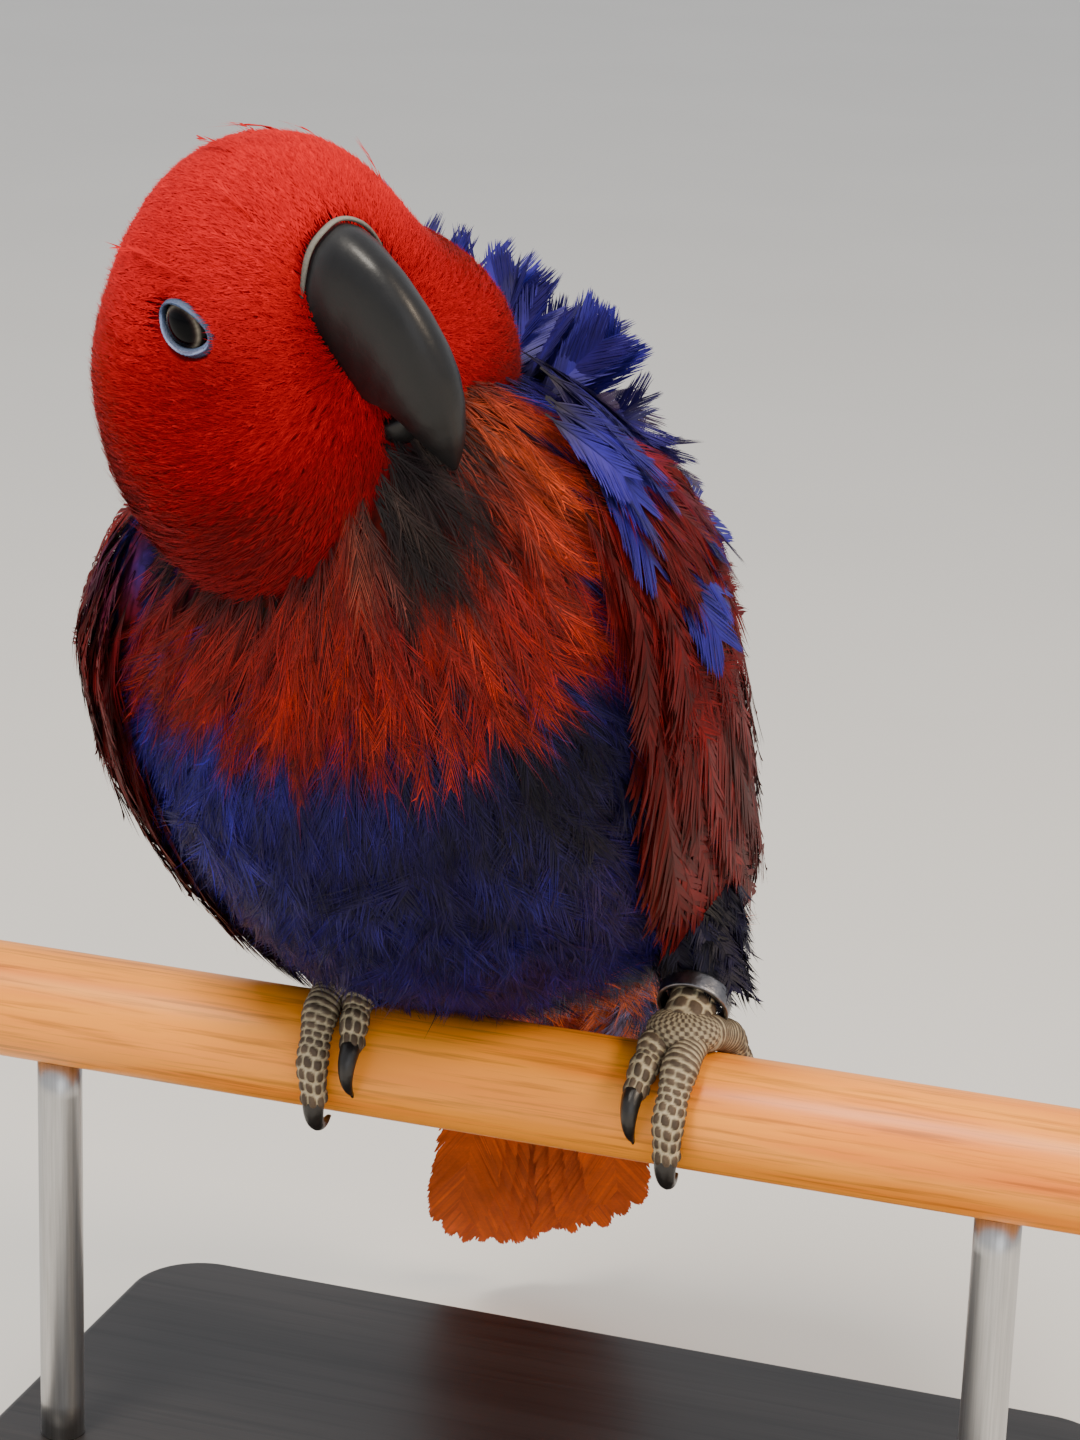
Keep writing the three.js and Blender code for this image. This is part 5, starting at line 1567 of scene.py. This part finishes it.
def build_base(material):
    """The base: a rectangle with round corners, carried up by a profile of insets and heights that
    turns a quarter circle at the lower and at the upper edge."""
    bevel, top = settings().stand.bevel * 1000, 1000 * BASE_HIGH.z
    size = np.array([1000 * BASE_HIGH.x - BASE_CORNER, 1000 * BASE_HIGH.y - BASE_CORNER])
    quarter = np.linspace(0, np.pi / 2, 16)
    angles = np.concatenate([quarter + k * np.pi / 2 for k in range(4)])
    corner = np.repeat([(1, 1), (-1, 1), (-1, -1), (1, -1)], len(quarter), axis=0) * size
    turn, centre = np.linspace(0, np.pi / 2, 7), BASE_CORNER - 1
    rise, fall = bevel * (1 - np.sin(turn)), bevel * (1 - np.cos(turn))
    insets = np.concatenate([[centre, bevel], rise, fall, [bevel + 0.5, centre]])
    heights = np.concatenate([[0, 0], fall, top - bevel + bevel * np.sin(turn), [top, top]])
    out = (BASE_CORNER - insets)[:, None, None]
    flat = corner + out * np.stack([np.cos(angles), np.sin(angles)], -1)
    rings = np.concatenate([flat, np.broadcast_to(heights[:, None, None], (*flat.shape[:2], 1))], -1)
    points, faces = closed_tube(rings)
    make_piece(
        "stand_base_plate", points / 1000, faces, material,
        replaces=("stand_base",), smooth=False,
    )


# The camera in millimetres from the dowel's middle, its angles in degrees and its lens in mm.
CAMERA = dict(at=(176.66, -534.96, 239.15), azimuth=18.0, elevation=17.3, roll=1.9, lens=90.33)


# Each lamp's place in metres, its width, its power and its colour.
LAMPS = {
    "key": ((-0.25, -0.60, 1.25), 0.4, 19, (1.0, 0.92, 0.80)),
    "warm": ((0.80, -0.20, 0.80), 0.3, 8, (1.0, 0.80, 0.58)),
    "fill": ((0.6, -1.1, 0.4), 0.9, 2.5, (0.95, 0.97, 1.0)),
}


def add_floor():
    """A pale matt floor of 6 by 6 metres."""
    material, shader, node, link = new_material("floor_matt")
    place = node("TexCoord").outputs["Object"]
    pale = tone("stand", "floor")
    link(ramp(node, noise(node, place, 6, 3), (0.3, pale * 0.97), (0.7, pale)), shader.inputs["Base Color"])
    shader.inputs["Roughness"].default_value = 0.85
    x, y = np.meshgrid(np.linspace(-3, 3, 13), np.linspace(-3, 3, 13))
    points = np.stack([x, y, np.zeros_like(x)], -1).reshape(-1, 3)
    mesh = bpy.data.meshes.new("floor")
    mesh.from_pydata(points.tolist(), [], grid_faces(13, 13, around=False).tolist())
    mesh.materials.append(material)
    floor = bpy.data.objects.new("floor", mesh)
    bpy.context.scene.collection.objects.link(floor)


def add_lamps():
    """A soft sky and three round lamps that point at the bird's breast."""
    world = bpy.data.worlds.new("sky")
    bpy.context.scene.world = world
    world.use_nodes = True
    sky = world.node_tree.nodes["Background"]
    sky.inputs["Color"].default_value = (0.90, 0.92, 0.96, 1)
    sky.inputs["Strength"].default_value = 0.85
    aim = Vector(to_floor([-10, -10, 90]))
    for name, (place, size, power, colour) in LAMPS.items():
        light = bpy.data.lights.new(name, "AREA")
        light.shape, light.size, light.energy, light.color = "DISK", size, power, colour
        lamp = bpy.data.objects.new(name, light)
        bpy.context.scene.collection.objects.link(lamp)
        lamp.location = place
        lamp.rotation_euler = (aim - Vector(place)).to_track_quat("-Z", "Y").to_euler()


def add_camera():
    """The camera at the photo's angle: it looks back along its azimuth and elevation, and is then
    rolled about that line."""
    azimuth, elevation, roll = [math.radians(CAMERA[k]) for k in ("azimuth", "elevation", "roll")]
    far = math.cos(elevation)
    back = np.array([math.sin(azimuth) * far, -math.cos(azimuth) * far, math.sin(elevation)])
    level = np.array([math.cos(azimuth), math.sin(azimuth), 0.0])
    upright = np.cross(back, level)
    right = level * math.cos(roll) + upright * math.sin(roll)
    up = np.cross(back, right)
    data = bpy.data.cameras.new("camera")
    data.lens, data.sensor_width, data.clip_start = CAMERA["lens"], 36, 0.01
    camera = bpy.data.objects.new("camera", data)
    bpy.context.scene.collection.objects.link(camera)
    place = Matrix(np.stack([right, up, back], 1).tolist()).to_4x4()
    place.translation = Vector(to_floor(CAMERA["at"]))
    camera.matrix_world = place
    bpy.context.scene.camera = camera


# Operators


def draws(step):
    """The random draws of one operator, from the seed and the operator's own number."""
    return np.random.default_rng([settings().plumage.seed, step])


class PARROT_OT_skin(bpy.types.Operator):
    """Fuse the head, body, wings, tail root and thighs into one skin"""

    bl_idname = "parrot.skin"
    bl_label = "Skin"

    def execute(self, context):
        build_skin(plumage_material("skin_down", 0.85, specular=0.1))
        return {"FINISHED"}


class PARROT_OT_head_feathers(bpy.types.Operator):
    """Cover the head with small velvety feathers that lie back from the bill"""

    bl_idname = "parrot.head_feathers"
    bl_label = "Head feathers"

    def execute(self, context):
        material = plumage_material("head_velvet", 0.75, (0.12, (1.0, 0.3, 0.25)), 0.12, 0.12)
        shape = dict(
            barbs=3, kind="soft", slant=12, clean=0.05, loose=0.8, wide=0.6, camber=0.05, streak=0.08,
            shaft=0.1, shaft_tint=0.95, stem=2, fuzz=0.06,
        )
        zones = (
            ("brow", (0.16, 0.72), 0.55, (3.4, 4.6), (0.75, 1.1), 0.3),
            ("face", (0.72, 1.12), 0.58, (4.2, 5.8), (0.85, 1.2), 0.35),
            ("cheek", (1.12, 1.62), 0.64, (5.2, 7.2), (1.0, 1.4), 0.4),
            ("crown", (1.62, 2.95), 0.76, (5.4, 7.4), (1.3, 1.8), 0.45),
        )
        for number, (name, polar, spacing, length, width, high) in enumerate(zones):
            rise = (-0.7, high, 0.7)
            part = head_feathers(draws(20 + number), polar, spacing, length, width, rise, **shape)
            add_plumage(f"head_feathers_{name}", [part], material)
        return {"FINISHED"}


class PARROT_OT_breast_feathers(bpy.types.Operator):
    """Hang the bib's hair-like feathers over the breast and round the neck"""

    bl_idname = "parrot.breast_feathers"
    bl_label = "Bib and neck"

    def execute(self, context):
        material = plumage_material("bib_hair", 0.55, (0.04, (1.0, 0.35, 0.2)), 0.2, 0.5)
        rng = draws(2)
        shape = dict(
            barbs=18, kind="soft", slant=9.5, clean=0.08, loose=2.6, wide=0.5, fuzz=0.8, streak=0.36,
            shaft=0.22,
        )
        front, nape = (92, 268), (-92, 92)
        zones = (
            ("bib", (1.7, 3.75), front, 2.3, (15, 23), (2.6, 4.6), (-2.6, 2.3, 0.7), 0.24),
            ("throat", (0.1, 1.75), front, 2.4, (13, 19), (2.6, 4.6), (-2.6, 2.4, 0.7), 0.28),
            ("nape", (0.1, 2.0), nape, 3.4, (12, 17), (5, 8), (-2.4, 1.4, 0.7), 0.16),
        )
        for name, *place, mess in zones:
            part = body_feathers(*place, rng, mess=mess, **shape)
            add_plumage(f"{name}_feathers", [part], material)
        return {"FINISHED"}


class PARROT_OT_belly_feathers(bpy.types.Operator):
    """Lay the loose blue feathers of the belly, flanks and vent, and those of the thighs"""

    bl_idname = "parrot.belly_feathers"
    bl_label = "Belly and thighs"

    def execute(self, context):
        material = plumage_material("belly_plume", 0.5, (0.05, (0.4, 0.35, 1.0)), 0.2, 0.7)
        rng = draws(3)
        belly = body_feathers(
            (3.55, 7.9), (108, 252), 3.2, (15, 24), (5, 9), (-2.8, 2.8, 0.7), rng, mess=0.46,
            keep=clear_of_wings, barbs=20, kind="soft", slant=16, clean=0.1, loose=2.2, wide=0.8,
            fuzz=0.9, streak=0.36, shaft=0.3,
        )
        thighs = thigh_feathers(1, rng) + thigh_feathers(-1, rng)
        add_plumage("belly_feathers", [belly], material)
        if thighs:
            add_plumage("thigh_feathers", thighs, material)
        return {"FINISHED"}


class PARROT_OT_back_feathers(bpy.types.Operator):
    """Lay the feathers of the mantle, back and rump, and raise those behind the head"""

    bl_idname = "parrot.back_feathers"
    bl_label = "Back and mantle"

    def execute(self, context):
        material = plumage_material("back_plume", 0.5, (0.08, (0.6, 0.5, 1.0)), 0.25, 0.4)
        rng = draws(4)
        back = body_feathers(
            (1.9, 7.9), (-62, 62), 4.3, (15, 20), (9, 12), (-2.4, 1.4, 0.75), rng, barbs=22,
            kind="round", slant=26, clean=0.12, loose=0.7, wide=1.4, fuzz=0.2, blunt=0.82,
        )
        add_plumage("back_feathers", [back], material)
        collar = raised(rng, 56, (8.2, 8.8), (-14, 56), (25, 16, 12), 10, 0.75, 0.45)
        mantle = raised(rng, 60, (7.8, 8.4), (-42, 70), (19, 16, 14), 11, 0.3, -0.9)
        shoulder = raised(rng, 110, (8.1, 9.25), (48, 99), (21, 18), 9, 0.31, -0.9, base=3)
        other = raised(rng, 24, (8.0, 8.8), (-84, -42), (18, 18), 10, 0.28, -0.9, base=2)
        low = raised(rng, 56, (7.9, 8.8), (-34, 66), (14, 11), 10, 0.6, -0.4, downy=1.0)
        parts = [collar, mantle, shoulder, other, low]
        add_plumage("mantle_feathers", parts, material)
        return {"FINISHED"}


class PARROT_OT_wing_feathers(bpy.types.Operator):
    """Fold each wing: flight feathers, their coverts in tiers and the small coverts over the front"""

    bl_idname = "parrot.wing_feathers"
    bl_label = "Wings"

    def execute(self, context):
        material = plumage_material("wing_vane", 0.6, (0.02, (1.0, 0.4, 0.3)), 0.16, 0.45)
        for name, side in (("left", 1), ("right", -1)):
            rng = draws(5 + side)
            tiers = [wing_tier(side, rng, *tier) for tier in WING_TIERS]
            parts = [*tiers, lesser_coverts(side, rng)]
            add_plumage(f"wing_{name}_feathers", parts, material, (f"wing_{name}",))
        return {"FINISHED"}


class PARROT_OT_tail_feathers(bpy.types.Operator):
    """Fan the twelve tail feathers and cover their roots above and below"""

    bl_idname = "parrot.tail_feathers"
    bl_label = "Tail"

    def execute(self, context):
        material = plumage_material("tail_vane", 0.6, (0.02, (1.0, 0.5, 0.3)), 0.16, 0.3)
        rng = draws(8)

        def above(u):
            return plume("wing_red", "bib_red", rng.beta(1.5, 2, len(u)))

        def below(u):
            lilac = rng.uniform(0, 1, len(u)) < 0.3 * (1 - ease(u, 0.0, 0.4))
            share = rng.uniform(0, 1, len(u))
            red = plume("tail_red", "bib_red", share)
            return mixed(red, linear([0.52, 0.47, 0.66]), lilac)

        upper = tail_coverts((-100, 100), 5.2, (20, 27), above, rng, 0.6)
        under = tail_coverts((100, 260), 4.6, (18, 26), below, rng, 1.4)
        parts = [tail_feathers(rng), upper, under]
        add_plumage("tail_feathers", parts, material, ("tail",))
        return {"FINISHED"}


class PARROT_OT_bill(bpy.types.Operator):
    """Shape the upper and lower bill and the bare band over its root"""

    bl_idname = "parrot.bill"
    bl_label = "Bill"

    def execute(self, context):
        horn = tinted_material("bill_horn", 0.4, 260, 0.3, 0.32, 0.04)
        build_upper_bill(horn)
        build_lower_bill(horn)
        build_cere(tinted_material("cere_skin", 0.6, 1800, 0.5, 0.3))
        return {"FINISHED"}


class PARROT_OT_eyes(bpy.types.Operator):
    """Set both eyes and their bare rings"""

    bl_idname = "parrot.eyes"
    bl_label = "Eyes"

    def execute(self, context):
        ball = tinted_material("eye_wet", 0.1, 500, 0.0, 0.06)
        lid = tinted_material("lid_skin", 0.5, 2600, 0.5, 0.35)
        # The head's third axis points to its right, so the left eye is on its negative side.
        for name, side in (("left", -1), ("right", 1)):
            build_eyeball(f"eye_{name}", side, ball)
            build_lids(f"lids_{name}", side, lid)
        return {"FINISHED"}


class PARROT_OT_feet(bpy.types.Operator):
    """Wrap the scaled toes and claws round the dowel and put the ring on the left shank"""

    bl_idname = "parrot.feet"
    bl_label = "Feet"

    def execute(self, context):
        skin = tinted_material("foot_scale", 0.6, 1500, 0.45, 0.35)
        claw = tinted_material("claw_horn", 0.32, 900, 0.3, 0.5)
        for side, foot in FEET.items():
            build_foot(side, foot, skin, claw)
        build_leg_ring(tinted_material("ring_metal", 0.34, 1200, 0.25, metallic=1.0))
        return {"FINISHED"}


class PARROT_OT_stand(bpy.types.Operator):
    """Turn the dowel and build the stand under it"""

    bl_idname = "parrot.stand"
    bl_label = "Dowel and stand"

    def execute(self, context):
        pale, dark, stain = [tone("stand", name) for name in ("dowel_pale", "dowel_dark", "base")]
        build_dowel(wood_material("dowel_varnish", pale, dark, 0.42, 110))
        rod, shader, node, link = new_material("rod_steel")
        shader.inputs["Metallic"].default_value = 1.0
        brushed = noise(node, node("TexCoord").outputs["Object"], 300, 3, 0.6, (8, 8, 0.2))
        link(ramp(node, brushed, (0.3, 0.42), (0.7, 0.55)), shader.inputs["Base Color"])
        relief = node("Bump", {"Height": brushed}, Strength=0.1, Distance=0.0002)
        link(relief.outputs[0], shader.inputs["Normal"])
        shader.inputs["Roughness"].default_value = 0.35
        for side in ("left", "right"):
            build_rod(f"stand_rod_{side}", rod)
        build_base(wood_material("base_stain", stain, stain * 0.6, 0.45, 60))
        return {"FINISHED"}


class PARROT_OT_stage(bpy.types.Operator):
    """Lay the floor, hang the lamps and place the camera"""

    bl_idname = "parrot.stage"
    bl_label = "Floor, lamps and camera"

    def execute(self, context):
        add_floor()
        add_lamps()
        add_camera()
        return {"FINISHED"}


OPERATORS = (
    PARROT_OT_skin,
    PARROT_OT_head_feathers,
    PARROT_OT_breast_feathers,
    PARROT_OT_belly_feathers,
    PARROT_OT_back_feathers,
    PARROT_OT_wing_feathers,
    PARROT_OT_tail_feathers,
    PARROT_OT_bill,
    PARROT_OT_eyes,
    PARROT_OT_feet,
    PARROT_OT_stand,
    PARROT_OT_stage,
)


class PARROT_PT_panel(bpy.types.Panel):
    """The parrot's settings and steps in the sidebar."""

    bl_label = "Eclectus Parrot"
    bl_idname = "PARROT_PT_panel"
    bl_space_type = "VIEW_3D"
    bl_region_type = "UI"
    bl_category = "Parrot"

    def draw(self, context):
        layout = self.layout
        for title in ("plumage", "bill", "foot", "stand"):
            group = getattr(settings(), title)
            box = layout.box()
            box.label(text=title.capitalize())
            for name in group.__annotations__:
                box.prop(group, name)
        for operator in OPERATORS:
            layout.operator(operator.bl_idname)


CLASSES = (
    PlumageSettings, BillSettings, FootSettings, StandSettings, ParrotSettings, *OPERATORS, PARROT_PT_panel,
)


def register():
    """Registers every class, and hangs the settings on the scene."""
    for cls in CLASSES:
        bpy.utils.register_class(cls)
    bpy.types.Scene.parrot = PointerProperty(type=ParrotSettings)


def unregister():
    """Takes the settings and every class away again."""
    del bpy.types.Scene.parrot
    for cls in reversed(CLASSES):
        bpy.utils.unregister_class(cls)


def main():
    """Runs every step in order."""
    register()
    for operator in OPERATORS:
        name = operator.bl_idname.split(".")[1]
        getattr(bpy.ops.parrot, name)()


if __name__ == "__main__":
    main()
